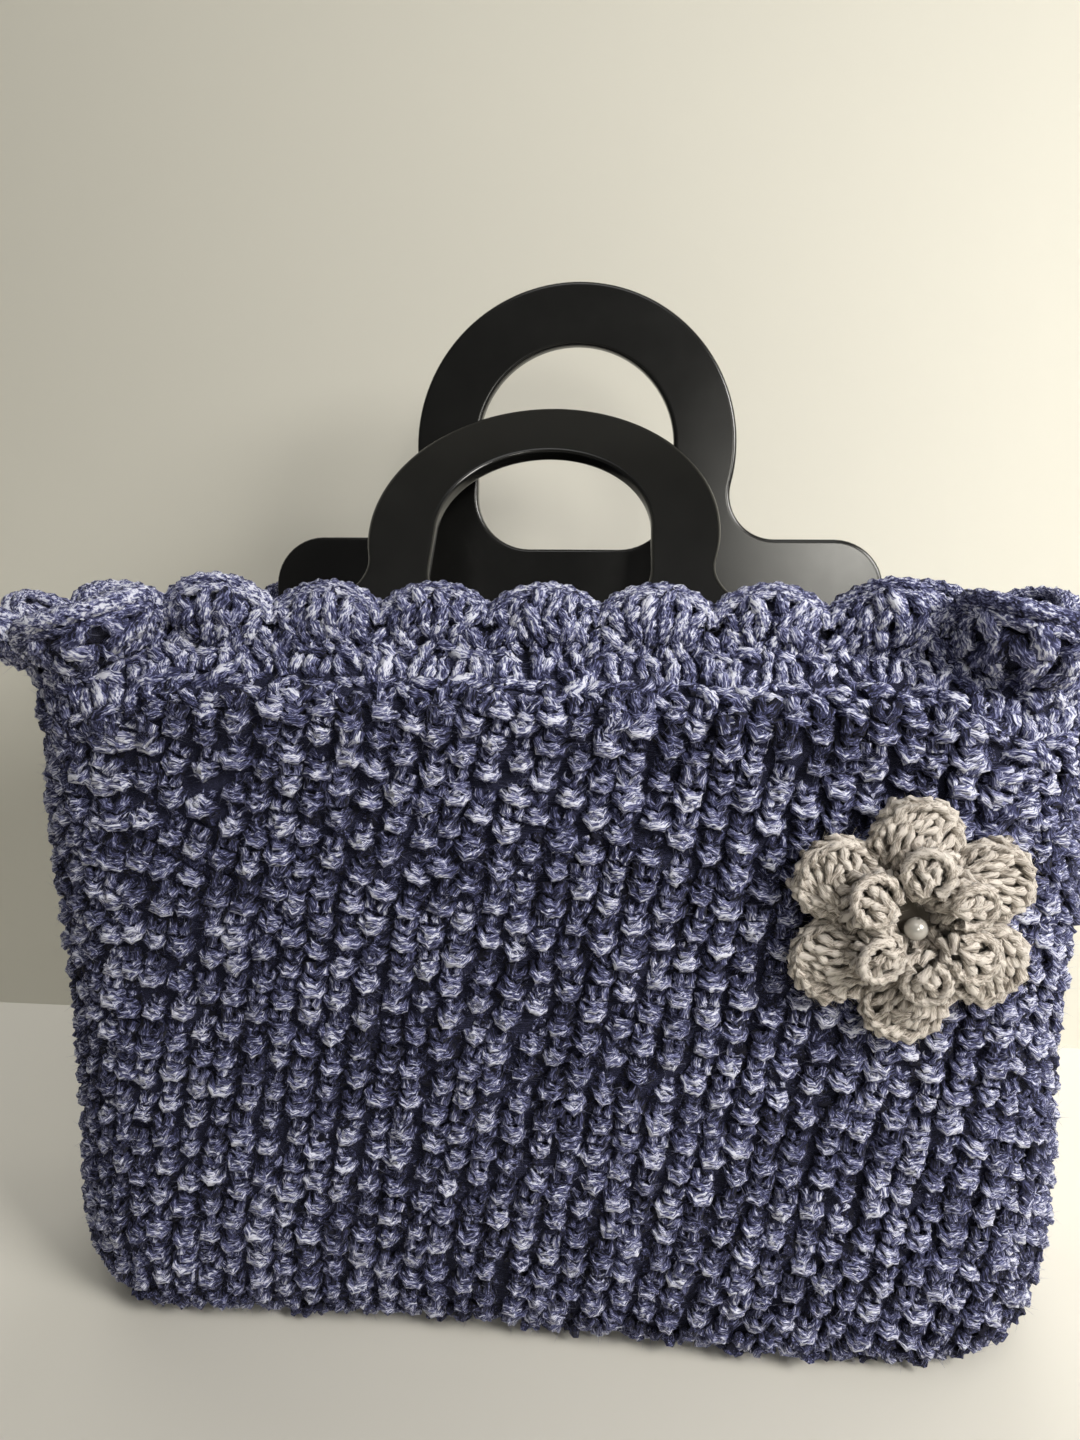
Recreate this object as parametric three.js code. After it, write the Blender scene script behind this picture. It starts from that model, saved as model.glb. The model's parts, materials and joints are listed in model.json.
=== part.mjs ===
// Crochet tote bag that stands by itself: a hollow bag worked in one piece, a border of
// shells along its rim, two flat plate handles tucked inside the front and back walls,
// and a crocheted flower with a pearl bead on the front.
// Millimetres, +Z up, the front faces -Y. The origin is the middle of the base, on the
// surface that the bag stands on.

import * as THREE from 'three';

// Clearance between neighbouring pieces, and the thickness of the crocheted wall and base
const gap = 0.3;
const wallThickness = 5;
const baseThickness = 5;

// Flat plate handle, measured from its shoulder line: the upper edge of its two wings
const handle = {
  thickness: 5,
  edgeRound: 1.2,
  archRadius: 57.5,
  holeRadius: 35.2,
  archCentre: 33.4,
  holeBottom: -4,
  holeCorner: 19,
  wingHalfWidth: 110,
  wingDepth: 44,
  wingRound: 17.5,
  wingFillet: 16,
  arcSteps: 8,
};

// Where each handle's shoulder line runs, and how far its top leans back
const frontHandle = { x: -4, y: -21, z: 240, lean: 46.8 };
const backHandle = { x: 4, y: 42.5, z: 256.5, lean: 8.9 };

// Level sections of the bag below the collar, from the edge of the flat base upwards
const sections = [
  { z: 0, halfWidth: 150, front: -43, back: 41, corner: 36, bulge: 0 },
  { z: 2.5, halfWidth: 157, front: -49, back: 46, corner: 38, bulge: 0.5 },
  { z: 9, halfWidth: 163, front: -54, back: 50, corner: 40, bulge: 1 },
  { z: 26, halfWidth: 167, front: -57, back: 52, corner: 41, bulge: 2 },
  { z: 60, halfWidth: 168.5, front: -58, back: 53, corner: 42, bulge: 3.5 },
  { z: 110, halfWidth: 168, front: -58, back: 52.5, corner: 42, bulge: 4 },
  { z: 160, halfWidth: 167, front: -57.5, back: 50.5, corner: 42, bulge: 3.5 },
  { z: 196, halfWidth: 165, front: -56.5, back: 48, corner: 41, bulge: 1.5 },
];

// Collar rows: the front and back follow the handle plates, this far below their shoulder
// lines, and the two ends of the bag hang lower and stand further forward
const collar = [
  { frontBelow: 46, backBelow: 46, endHeight: 205, halfWidth: 165, frontCorner: -56, corner: 40 },
  { frontBelow: 33, backBelow: 40, endHeight: 213, halfWidth: 165.5, frontCorner: -55, corner: 40 },
  { frontBelow: 20, backBelow: 34, endHeight: 220, halfWidth: 168, frontCorner: -53, corner: 40 },
];

// Half width over which the front and back bulge, and half widths between which the
// plates let go of the wall
const bulgeHalfWidth = 128;
const plateHold = { front: [115, 140], back: [116, 150] };

// Waves of the front wall near the base, and dents in the two ends
const baseWaves = [
  { x: -47, spread: 50, shift: 3 },
  { x: 92, spread: 46, shift: -4 },
];
const waveHeight = 70;
const dents = [
  { x: 166, y: -30, z: 104, spread: 24, depth: 4 },
  { x: -166, y: -25, z: 95, spread: 55, depth: 5 },
];

// Border of shells: rows are shares of its height, and the table says how far it leans out
// and ruffles, by share of the way round from the front middle
const border = { shells: 24, notch: 7, crest: 19, thickness: 4, dome: 2.5, rows: [0, 0.55, 1] };
const borderLean = [
  { share: 0, lean: -28, ruffle: 0, tall: 1 },
  { share: 0.1, lean: -24, ruffle: 0, tall: 1 },
  { share: 0.14, lean: -4, ruffle: 2, tall: 1.1 },
  { share: 0.17, lean: 16, ruffle: 4, tall: 1.25 },
  { share: 0.21, lean: 22, ruffle: 4, tall: 1.25 },
  { share: 0.25, lean: 24, ruffle: 3, tall: 1.15 },
  { share: 0.31, lean: 18, ruffle: 2, tall: 1.05 },
  { share: 0.37, lean: 11, ruffle: 0, tall: 1 },
  { share: 0.63, lean: 11, ruffle: 0, tall: 1 },
  { share: 0.69, lean: 20, ruffle: 2, tall: 1.05 },
  { share: 0.75, lean: 32, ruffle: 3, tall: 1.15 },
  { share: 0.82, lean: 38, ruffle: 4, tall: 1.25 },
  { share: 0.86, lean: -2, ruffle: 2, tall: 1.1 },
  { share: 0.9, lean: -24, ruffle: 0, tall: 1 },
  { share: 1, lean: -28, ruffle: 0, tall: 1 },
];

// Flower: its middle on the front wall, and the profiles of its two layers of petals.
// Reach is the share of the petal's own radius, rise the height above the wall
const flower = {
  x: 104.3,
  z: 157,
  seat: 0.5,
  petals: 6,
  firstPetal: 30,
  pearlRadius: 3.4,
  pearlSeat: 8.5,
  pearlFacets: [12, 8],
};
const outerPetals = {
  notch: 23,
  tip: 37,
  columns: 48,
  profile: [
    { reach: 0.35, rise: 0 },
    { reach: 0.7, rise: 0.6 },
    { reach: 0.94, rise: 2.2 },
    { reach: 1, rise: 4.3 },
    { reach: 0.94, rise: 6.3 },
    { reach: 0.74, rise: 7.2 },
    { reach: 0.5, rise: 5.3 },
    { reach: 0.3, rise: 4.6 },
  ],
};
const innerPetals = {
  notch: 10,
  tip: 21.5,
  columns: 36,
  profile: [
    { reach: 0.35, rise: 4.9 },
    { reach: 0.8, rise: 7.6 },
    { reach: 1, rise: 10.6 },
    { reach: 0.93, rise: 13 },
    { reach: 0.74, rise: 14.3 },
    { reach: 0.5, rise: 11.5 },
    { reach: 0.28, rise: 8.5 },
  ],
};

// Columns round the bag and its border
const bagColumns = 144;

const { degToRad, lerp, smoothstep } = THREE.MathUtils;

const yarn = new THREE.MeshStandardMaterial({ color: 0x4f557d, roughness: 0.95 });
const petalYarn = new THREE.MeshStandardMaterial({ color: 0x97908a, roughness: 0.95 });
const blackPlate = new THREE.MeshStandardMaterial({ color: 0x121212, roughness: 0.4 });
const pearl = new THREE.MeshStandardMaterial({ color: 0xd9d6cf, roughness: 0.2, metalness: 0.1 });

// Two triangles of a quad, split along its shorter diagonal
function splitQuad([a, b, c, d], corners) {
  const [ac, bd] = [corners[a].distanceTo(corners[c]), corners[b].distanceTo(corners[d])];
  return ac < bd ? [a, b, c, a, c, d] : [a, b, d, b, c, d];
}

// Closed solid through rings of equal counts, listed from its foot along the outside.
// The rings run anticlockwise seen from above. A capped solid ends in flat faces, and
// the others close on themselves.
function ringSolid(rings, capped) {
  const count = rings[0].length;
  const corners = rings.flat();
  const triangles = [];
  const bands = capped ? rings.length - 1 : rings.length;
  for (let band = 0; band < bands; band += 1) {
    const low = band * count;
    const high = ((band + 1) % rings.length) * count;
    for (let column = 0; column < count; column += 1) {
      const next = (column + 1) % count;
      const quad = [low + column, low + next, high + next, high + column];
      triangles.push(...splitQuad(quad, corners));
    }
  }
  if (capped) {
    const last = (rings.length - 1) * count;
    for (const [a, b, c] of THREE.ShapeUtils.triangulateShape(rings[0], [])) {
      triangles.push(a, c, b);
    }
    for (const [a, b, c] of THREE.ShapeUtils.triangulateShape(rings.at(-1), [])) {
      triangles.push(last + a, last + b, last + c);
    }
  }
  const geometry = new THREE.BufferGeometry().setFromPoints(corners);
  geometry.setIndex(triangles);
  return geometry;
}

// Rounded rectangle, anticlockwise from the middle of the front
function roundedRing({ halfWidth, front, back, corner }) {
  const right = halfWidth - corner;
  const path = new THREE.Path();
  path.moveTo(0, front);
  path.lineTo(right, front);
  path.absarc(right, front + corner, corner, -Math.PI / 2, 0);
  path.lineTo(halfWidth, back - corner);
  path.absarc(right, back - corner, corner, 0, Math.PI / 2);
  path.lineTo(-right, back);
  path.absarc(-right, back - corner, corner, Math.PI / 2, Math.PI);
  path.lineTo(-halfWidth, front + corner);
  path.absarc(-right, front + corner, corner, Math.PI, Math.PI * 1.5);
  path.lineTo(0, front);
  return path.getSpacedPoints(bagColumns).slice(0, bagColumns);
}

// Waves and dents that the soft wall takes
function soften(point, bulge) {
  const across = Math.min(1, Math.abs(point.x) / bulgeHalfWidth);
  const side = Math.sign(point.y);
  point.y += side * bulge * (1 - across * across);
  if (side < 0) {
    const low = 1 - smoothstep(point.z, 0, waveHeight);
    for (const { x, spread, shift } of baseWaves) {
      point.y += low * shift * Math.exp(-(((point.x - x) / spread) ** 2));
    }
  }
  for (const { x, y, z, spread, depth } of dents) {
    const away = point.distanceTo(new THREE.Vector3(x, y, z)) / spread;
    point.x -= Math.sign(x) * depth * Math.exp(-away * away);
  }
  return point;
}

// Ring of the wall at a level section, this far inside its outer face
function sectionRing({ z, halfWidth, front, back, corner, bulge }, inset) {
  const outline = {
    halfWidth: halfWidth - inset,
    front: front + inset,
    back: back - inset,
    corner: corner - inset,
  };
  return roundedRing(outline).map(({ x, y }) => soften(new THREE.Vector3(x, y, z), bulge));
}

// Height and depth of a point beside a handle plate: this far below its shoulder line,
// and this far in front of its front face
function besidePlate({ y, z, lean }, below, ahead) {
  const angle = degToRad(lean);
  return {
    y: y - below * Math.sin(angle) - ahead * Math.cos(angle),
    z: z - below * Math.cos(angle) + ahead * Math.sin(angle),
  };
}

// Ring of the wall at a collar row, where the front and back lie on the handle plates
function collarRing(row, inset) {
  const depth = wallThickness - inset + gap;
  const front = besidePlate(frontHandle, row.frontBelow, depth);
  const back = besidePlate(backHandle, row.backBelow, -handle.thickness - depth);
  const outline = {
    halfWidth: row.halfWidth - inset,
    front: row.frontCorner + inset,
    back: back.y,
    corner: row.corner - inset,
  };
  return roundedRing(outline).map(({ x, y }) => {
    const plate = y < 0 ? front : back;
    const [held, free] = y < 0 ? plateHold.front : plateHold.back;
    const hold = 1 - smoothstep(Math.abs(x), held, free);
    const pull = y < 0 ? front.y - outline.front : 0;
    return new THREE.Vector3(x, y + hold * pull, lerp(row.endHeight, plate.z, hold));
  });
}

// Bag: up the outside, over the rim, down the inside to the inner base
function bagBody() {
  const [foot, ...rest] = sections;
  const walls = rest.slice(1);
  const inside = [
    ...walls.map((section) => sectionRing(section, wallThickness)),
    ...collar.map((row) => collarRing(row, wallThickness)),
  ];
  const rings = [
    ...sections.map((section) => sectionRing(section, 0)),
    ...collar.map((row) => collarRing(row, 0)),
    ...inside.reverse(),
    sectionRing({ ...foot, z: baseThickness }, 0),
  ];
  return ringSolid(rings, true);
}

// Value of a table's column at a share of the way round
function along(table, share, column) {
  const next = table.findIndex((row) => row.share > share);
  const [from, to] = [table[next - 1], table[next]];
  const part = smoothstep(share, from.share, to.share);
  return lerp(from[column], to[column], part);
}

// Border: shells that rise from the rim, each domed outwards between two notches
function scallopBorder() {
  const rim = collar.at(-1);
  const [outside, inside] = [collarRing(rim, 0), collarRing(rim, wallThickness)];
  const beneath = collarRing(collar.at(-2), 0);
  const outer = border.rows.map(() => []);
  const inner = border.rows.map(() => []);
  for (let column = 0; column < bagColumns; column += 1) {
    const share = column / bagColumns;
    const outerFoot = outside[column];
    const innerFoot = inside[column];
    const rise = outerFoot.clone().sub(beneath[column]).setLength(gap);
    const middle = outerFoot.clone().lerp(innerFoot, 0.5).add(rise);
    const before = outside[(column + bagColumns - 1) % bagColumns];
    const after = outside[(column + 1) % bagColumns];
    const out = new THREE.Vector3(after.y - before.y, before.x - after.x, 0).normalize();
    const inShell = (share * border.shells + 0.5) % 1;
    const arch = Math.sin(Math.PI * inShell);
    const tall = along(borderLean, share, 'tall');
    const height = tall * lerp(border.notch, border.crest, Math.sqrt(arch));
    const lean = degToRad(along(borderLean, share, 'lean'));
    const ruffle = along(borderLean, share, 'ruffle');
    const push = (border.dome + ruffle) * arch;
    outer[0].push(outerFoot.clone().add(rise));
    inner[0].push(innerFoot.clone().add(rise));
    for (let row = 1; row < border.rows.length; row += 1) {
      const part = border.rows[row];
      const up = part * height;
      const bend = lean * Math.sqrt(part);
      const half = 0.5 * border.thickness;
      const centre = middle.clone();
      centre.addScaledVector(out, up * Math.sin(bend) + push * part);
      centre.z += up * Math.cos(bend);
      const across = out.clone().multiplyScalar(Math.cos(bend));
      across.z = -Math.sin(bend);
      outer[row].push(centre.clone().addScaledVector(across, half));
      inner[row].push(centre.clone().addScaledVector(across, -half));
    }
  }
  return ringSolid([...outer, ...inner.reverse()], false);
}

// Handle plate in its own plane: x across, y up from the shoulder line
function handlePlate() {
  const { archRadius, archCentre, wingFillet, wingHalfWidth, wingDepth, wingRound } = handle;
  const wingEnd = wingHalfWidth - wingRound;
  const wingFoot = wingRound - wingDepth;
  const reach = archRadius + wingFillet;
  const filletX = Math.sqrt(reach ** 2 - (archCentre - wingFillet) ** 2);
  const joint = Math.asin((archCentre - wingFillet) / reach);
  const quarter = Math.PI / 2;
  const outline = new THREE.Shape();
  outline.moveTo(-wingEnd, -wingDepth);
  outline.lineTo(wingEnd, -wingDepth);
  outline.absarc(wingEnd, wingFoot, wingRound, -quarter, 0);
  outline.absarc(wingEnd, -wingRound, wingRound, 0, quarter);
  outline.lineTo(filletX, 0);
  outline.absarc(filletX, wingFillet, wingFillet, -quarter, -Math.PI - joint, true);
  outline.absarc(0, archCentre, archRadius, -joint, Math.PI + joint);
  outline.absarc(-filletX, wingFillet, wingFillet, joint, -quarter, true);
  outline.lineTo(-wingEnd, 0);
  outline.absarc(-wingEnd, -wingRound, wingRound, quarter, Math.PI);
  outline.absarc(-wingEnd, wingFoot, wingRound, Math.PI, 3 * quarter);

  const { holeRadius, holeBottom, holeCorner } = handle;
  const cornerX = holeRadius - holeCorner;
  const cornerY = holeBottom + holeCorner;
  const hole = new THREE.Path();
  hole.moveTo(cornerX, holeBottom);
  hole.absarc(cornerX, cornerY, holeCorner, -quarter, 0);
  hole.absarc(0, archCentre, holeRadius, 0, Math.PI);
  hole.absarc(-cornerX, cornerY, holeCorner, Math.PI, 3 * quarter);
  outline.holes.push(hole);

  const geometry = new THREE.ExtrudeGeometry(outline, {
    depth: handle.thickness - 2 * handle.edgeRound,
    bevelThickness: handle.edgeRound,
    bevelSize: handle.edgeRound,
    bevelOffset: -handle.edgeRound,
    bevelSegments: 1,
    curveSegments: handle.arcSteps,
  });
  return geometry.translate(0, 0, handle.edgeRound - handle.thickness);
}

function placeHandle(name, { x, y, z, lean }) {
  const plate = new THREE.Mesh(handlePlate(), blackPlate);
  plate.name = name;
  plate.position.set(x, y, z);
  plate.rotation.x = Math.PI / 2 - degToRad(lean);
  return plate;
}

// Layer of petals: rings whose radius swells and narrows with each petal
function petalLayer({ notch, tip, columns, profile }) {
  const first = degToRad(flower.firstPetal);
  const rings = profile.map(({ reach, rise }) => {
    const ring = [];
    for (let column = 0; column < columns; column += 1) {
      const angle = (column / columns) * Math.PI * 2;
      const lobe = Math.abs(Math.cos((angle - first) * flower.petals * 0.5));
      const radius = reach * lerp(notch, tip, Math.sqrt(lobe));
      ring.push(new THREE.Vector3(radius * Math.cos(angle), radius * Math.sin(angle), rise));
    }
    return ring;
  });
  return ringSolid(rings, true);
}

// Flower, seated on the front wall and turned to face out of it
function flowerGroup() {
  const high = sections.findIndex((section) => section.z > flower.z);
  const [below, above] = [sections[high - 1], sections[high]];
  const part = (flower.z - below.z) / (above.z - below.z);
  const bulge = lerp(below.bulge, above.bulge, part);
  const front = lerp(below.front, above.front, part);
  const across = flower.x / bulgeHalfWidth;
  const group = new THREE.Group();
  const wallFace = front - bulge * (1 - across * across);
  group.position.set(flower.x, wallFace - flower.seat, flower.z);
  group.rotation.order = 'ZXY';
  group.rotation.x = Math.PI / 2;
  group.rotation.z = Math.atan((2 * bulge * across) / bulgeHalfWidth);

  const pearlBall = new THREE.SphereGeometry(flower.pearlRadius, ...flower.pearlFacets);
  pearlBall.translate(0, 0, flower.pearlSeat + gap + flower.pearlRadius);
  const layers = [
    ['flower_outer_petals', petalLayer(outerPetals), petalYarn],
    ['flower_inner_petals', petalLayer(innerPetals), petalYarn],
    ['flower_pearl', pearlBall, pearl],
  ];
  for (const [name, geometry, material] of layers) {
    const mesh = new THREE.Mesh(geometry, material);
    mesh.name = name;
    group.add(mesh);
  }
  return group;
}

const bag = new THREE.Mesh(bagBody(), yarn);
bag.name = 'bag_body';
const shells = new THREE.Mesh(scallopBorder(), yarn);
shells.name = 'scallop_border';

const tote = new THREE.Group();
tote.add(bag, shells);
tote.add(placeHandle('handle_front', frontHandle), placeHandle('handle_back', backHandle));
tote.add(flowerGroup());

export default tote;
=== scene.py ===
import json
import math

import bpy
import numpy as np
from mathutils import Matrix, Vector
from mathutils.geometry import tessellate_polygon

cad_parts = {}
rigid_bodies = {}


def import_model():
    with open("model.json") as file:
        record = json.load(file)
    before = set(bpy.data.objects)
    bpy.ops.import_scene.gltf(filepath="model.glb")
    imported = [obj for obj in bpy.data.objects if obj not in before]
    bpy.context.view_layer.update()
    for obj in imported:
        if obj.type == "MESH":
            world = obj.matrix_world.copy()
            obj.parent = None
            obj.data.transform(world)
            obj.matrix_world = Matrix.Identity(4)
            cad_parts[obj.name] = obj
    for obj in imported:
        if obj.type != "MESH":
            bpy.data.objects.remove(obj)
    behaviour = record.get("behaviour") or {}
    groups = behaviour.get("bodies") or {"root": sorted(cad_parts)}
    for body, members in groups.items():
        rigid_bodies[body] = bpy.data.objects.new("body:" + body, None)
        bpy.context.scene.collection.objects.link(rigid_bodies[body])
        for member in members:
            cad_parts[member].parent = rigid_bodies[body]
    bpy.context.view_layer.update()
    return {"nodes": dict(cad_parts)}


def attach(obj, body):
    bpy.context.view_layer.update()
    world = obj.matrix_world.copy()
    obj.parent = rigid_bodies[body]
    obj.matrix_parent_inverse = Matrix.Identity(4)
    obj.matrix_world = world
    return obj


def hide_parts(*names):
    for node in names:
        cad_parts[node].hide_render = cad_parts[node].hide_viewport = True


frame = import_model()
mm = 0.001  # the bag is worked out in millimetres and scaled once, when a mesh is made
print("frame loaded with", len(frame["nodes"]), "nodes")


# Camera, where the photograph was taken from

shot = {
    "eye": (26.2, -352.9, 276.8),
    "pitch": 12.49,  # degrees below the horizon
    "yaw": 4.98,  # degrees towards -X
    "focal": 1081,  # pixels
    "imageHeight": 1440,
    "sensor": 36,
}


def makeCamera():
    pitch, yaw = math.radians(shot["pitch"]), math.radians(shot["yaw"])
    level = math.cos(pitch)
    ahead = Vector((-math.sin(yaw) * level, math.cos(yaw) * level, -math.sin(pitch)))
    right = Vector((math.cos(yaw), math.sin(yaw), 0))
    data = bpy.data.cameras.new("photoCamera")
    data.sensor_width = shot["sensor"]
    data.lens = shot["sensor"] * shot["focal"] / shot["imageHeight"]
    data.clip_start = 0.01
    camera = bpy.data.objects.new("photoCamera", data)
    turn = Matrix((right, right.cross(ahead), -ahead)).transposed().to_4x4()
    camera.matrix_world = Matrix.Translation(Vector(shot["eye"]) * mm) @ turn
    bpy.context.scene.collection.objects.link(camera)
    bpy.context.scene.camera = camera


makeCamera()
print("camera set")


# Small helpers for meshes and node trees

def addObject(name, mesh):
    piece = bpy.data.objects.new(name, mesh)
    bpy.context.scene.collection.objects.link(piece)
    return piece


def makeMesh(name, points, faces=(), edges=(), material=None):
    mesh = bpy.data.meshes.new(name)
    mesh.from_pydata([tuple(p) for p in np.asarray(points, float) * mm], list(edges), list(faces))
    mesh.update()
    if len(mesh.polygons):
        mesh.polygons.foreach_set("use_smooth", [True] * len(mesh.polygons))
    if material:
        mesh.materials.append(material)
    return mesh


def unit(vectors):
    return vectors / np.linalg.norm(vectors, axis=-1, keepdims=True)


def setVectors(mesh, name, values):
    layer = mesh.attributes.new(name, "FLOAT_VECTOR", "POINT")
    layer.data.foreach_set("vector", np.asarray(values, np.float32).ravel())


def setFloats(mesh, name, values):
    layer = mesh.attributes.new(name, "FLOAT", "POINT")
    layer.data.foreach_set("value", np.asarray(values, np.float32).ravel())


def newTree(name, kind, inputs, outputs):
    tree = bpy.data.node_groups.new(name, kind)
    for label, socketKind, value in inputs:
        socket = tree.interface.new_socket(name=label, in_out="INPUT", socket_type=f"NodeSocket{socketKind}")
        if value is not None:
            socket.default_value = value
    for label, socketKind in outputs:
        tree.interface.new_socket(name=label, in_out="OUTPUT", socket_type=f"NodeSocket{socketKind}")
    return tree, tree.nodes.new("NodeGroupInput").outputs, tree.nodes.new("NodeGroupOutput").inputs


def put(tree, kind, feeds=None, **settings):
    node = tree.nodes.new(kind)
    for label, value in settings.items():
        setattr(node, label, value)
    for key, value in (feeds or {}).items():
        if isinstance(key, int):
            socket = node.inputs[key]
        else:
            socket = next(s for s in node.inputs if s.name == key and s.enabled)
        if isinstance(value, bpy.types.NodeSocket):
            tree.links.new(value, socket)
        else:
            socket.default_value = value
    return node


def out(node, label=None):
    return next(s for s in node.outputs if s.enabled and (label is None or s.name == label))


def math2(tree, operation, a, b):
    return out(put(tree, "ShaderNodeMath", {0: a, 1: b}, operation=operation))


def vector2(tree, operation, a, b):
    return out(put(tree, "ShaderNodeVectorMath", {0: a, 1: b}, operation=operation))


def scaled(tree, vector, scale):
    return out(put(tree, "ShaderNodeVectorMath", {0: vector, "Scale": scale}, operation="SCALE"))


def noise(tree, place, scale, detail, roughness=0.5):
    return out(put(tree, "ShaderNodeTexNoise",
                   {"Vector": place, "Scale": scale, "Detail": detail, "Roughness": roughness}))


def blend(tree, factor, a, b):
    return out(put(tree, "ShaderNodeMix", {"Factor": factor, "A": a, "B": b}, data_type="RGBA"))


def onObject(tree):
    return out(put(tree, "ShaderNodeTexCoord"), "Object")


def newMaterial(name):
    material = bpy.data.materials.new(name)
    material.use_nodes = True
    return material, material.node_tree, material.node_tree.nodes["Principled BSDF"]


def setSockets(node, values):
    for label, value in values.items():
        node.inputs[label].default_value = value


def shapeTree(name, inputs):
    # a Geometry Nodes tree with a mesh and a material besides its own inputs
    inputs = [("Geometry", "Geometry", None), *inputs, ("Material", "Material", None)]
    return newTree(name, "GeometryNodeTree", inputs, [("Geometry", "Geometry")])


def finishTree(tree, shape, given, result):
    real = put(tree, "GeometryNodeRealizeInstances", {"Geometry": shape})
    dyed = put(tree, "GeometryNodeSetMaterial", {"Geometry": out(real), "Material": given["Material"]})
    tree.links.new(out(dyed), result["Geometry"])
    return tree


def namedValue(tree, label, kind="FLOAT"):
    return out(put(tree, "GeometryNodeInputNamedAttribute", {"Name": label}, data_type=kind))


def addModifier(piece, tree, values):
    modifier = piece.modifiers.new(tree.name, "NODES")
    modifier.node_group = tree
    for socket in tree.interface.items_tree:
        if socket.in_out == "INPUT" and socket.name in values:
            modifier[socket.identifier] = values[socket.name]


def settle(piece):
    graph = bpy.context.evaluated_depsgraph_get()
    mesh = bpy.data.meshes.new_from_object(piece.evaluated_get(graph))
    piece.modifiers.clear()
    old, piece.data = piece.data, mesh
    bpy.data.meshes.remove(old)
    mesh.name = piece.name
    return piece


def finishPiece(piece, slot, *nodes):
    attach(piece, "root")
    if nodes:
        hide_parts(*nodes)
    print(piece.name, "has", sum(len(p.vertices) - 2 for p in piece.data.polygons), "triangles")


# Yarn materials: fibres of several shades, spun together and seen along the strand

spinning = {
    "apart": 700.0,  # how far apart two stitches are on the length of yarn
    "fibreDraw": 0.3,  # fibres and clumps of them are drawn out along the strand
    "clumpDraw": 0.32,
    "clumpScale": 0.95,
    "clumpShare": 0.38,
    "sway": 0.08,  # difference in tone between stitches
    "middle": 0.6,  # height in a stitch where the yarn has its own tone, with painted shade below it and a painted highlight above
    "steps": [("Main", 0.39, 0.46), ("Pale", 0.49, 0.54), ("Frost", 0.565, 0.625)],
    "plies": 3,
    "shadeStep": 0.618034,  # from one strand of a piece to the next
}
shades = ("Deep", "Main", "Pale", "Frost")


def heatherGroup():
    inputs = [("Strand", "Vector", None), ("Shade", "Float", 0.5), ("Twist", "Float", 0.35),
              ("Fibre", "Float", 0.5), ("Lift", "Float", 0.0), ("Rise", "Float", spinning["middle"]),
              ("Depth", "Float", 0.0), *((shade, "Color", None) for shade in shades)]
    outputs = [("Color", "Color"), ("Height", "Float")]
    tree, given, result = newTree("heatherYarn", "ShaderNodeTree", inputs, outputs)
    along = out(put(tree, "ShaderNodeSeparateXYZ", {0: given["Strand"]}), "Z")
    turn = math2(tree, "MULTIPLY", along, given["Twist"])
    spun = out(put(tree, "ShaderNodeVectorRotate", {"Vector": given["Strand"], "Angle": turn},
                   rotation_type="Z_AXIS"))
    start = math2(tree, "MULTIPLY", given["Shade"], spinning["apart"])
    spun = vector2(tree, "ADD", spun, out(put(tree, "ShaderNodeCombineXYZ", {2: start})))

    fine = vector2(tree, "MULTIPLY", spun, (1, 1, spinning["fibreDraw"]))
    fibres = noise(tree, fine, math2(tree, "DIVIDE", 1.0, given["Fibre"]), 2.0, 0.6)
    coarse = vector2(tree, "MULTIPLY", spun, (1, 1, spinning["clumpDraw"]))
    clumps = noise(tree, coarse, spinning["clumpScale"], 1.0)
    share = spinning["clumpShare"]
    tone = math2(tree, "MULTIPLY", fibres, 1 - share)
    tone = math2(tree, "ADD", tone, math2(tree, "MULTIPLY", clumps, share))
    tone = math2(tree, "ADD", tone, given["Lift"])
    sway = math2(tree, "MULTIPLY", math2(tree, "SUBTRACT", given["Shade"], 0.5), spinning["sway"])
    tone = math2(tree, "ADD", tone, sway)
    # fibres on the outside of a stitch are made paler as a painted highlight, those in the hollows darker as
    # painted shade
    above = math2(tree, "SUBTRACT", given["Rise"], spinning["middle"])
    tone = math2(tree, "ADD", tone, math2(tree, "MULTIPLY", above, given["Depth"]))

    color = given["Deep"]
    for label, low, high in spinning["steps"]:
        step = out(put(tree, "ShaderNodeMapRange", {"Value": tone, "From Min": low, "From Max": high}))
        color = blend(tree, step, color, given[label])
    tree.links.new(color, result["Color"])
    tree.links.new(fibres, result["Height"])
    return tree


heather = heatherGroup()


def yarnMaterial(name, yarn, fromStrand=True):
    material, tree, shader = newMaterial(name)
    group = put(tree, "ShaderNodeGroup", node_tree=heather)
    if fromStrand:
        place = out(put(tree, "ShaderNodeAttribute", attribute_name="strand"), "Vector")
        for label in ("Shade", "Rise"):
            value = out(put(tree, "ShaderNodeAttribute", attribute_name=label.lower()), "Fac")
            tree.links.new(value, group.inputs[label])
        group.inputs["Depth"].default_value = yarn["depth"]
    else:
        place = onObject(tree)
    tree.links.new(scaled(tree, place, 1 / mm), group.inputs["Strand"])
    setSockets(group, {shade: (*yarn[shade], 1) for shade in shades})
    setSockets(group, {label: yarn[label.lower()] for label in ("Fibre", "Twist", "Lift")})
    tree.links.new(group.outputs["Color"], shader.inputs["Base Color"])
    bump = put(tree, "ShaderNodeBump", {"Strength": yarn["bump"], "Distance": 0.4 * mm,
                                        "Height": group.outputs["Height"]})
    tree.links.new(out(bump), shader.inputs["Normal"])
    setSockets(shader, {"Roughness": 0.88, "Specular IOR Level": 0.25, "Sheen Weight": yarn["sheen"],
                        "Sheen Roughness": 0.45})
    return material


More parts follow.
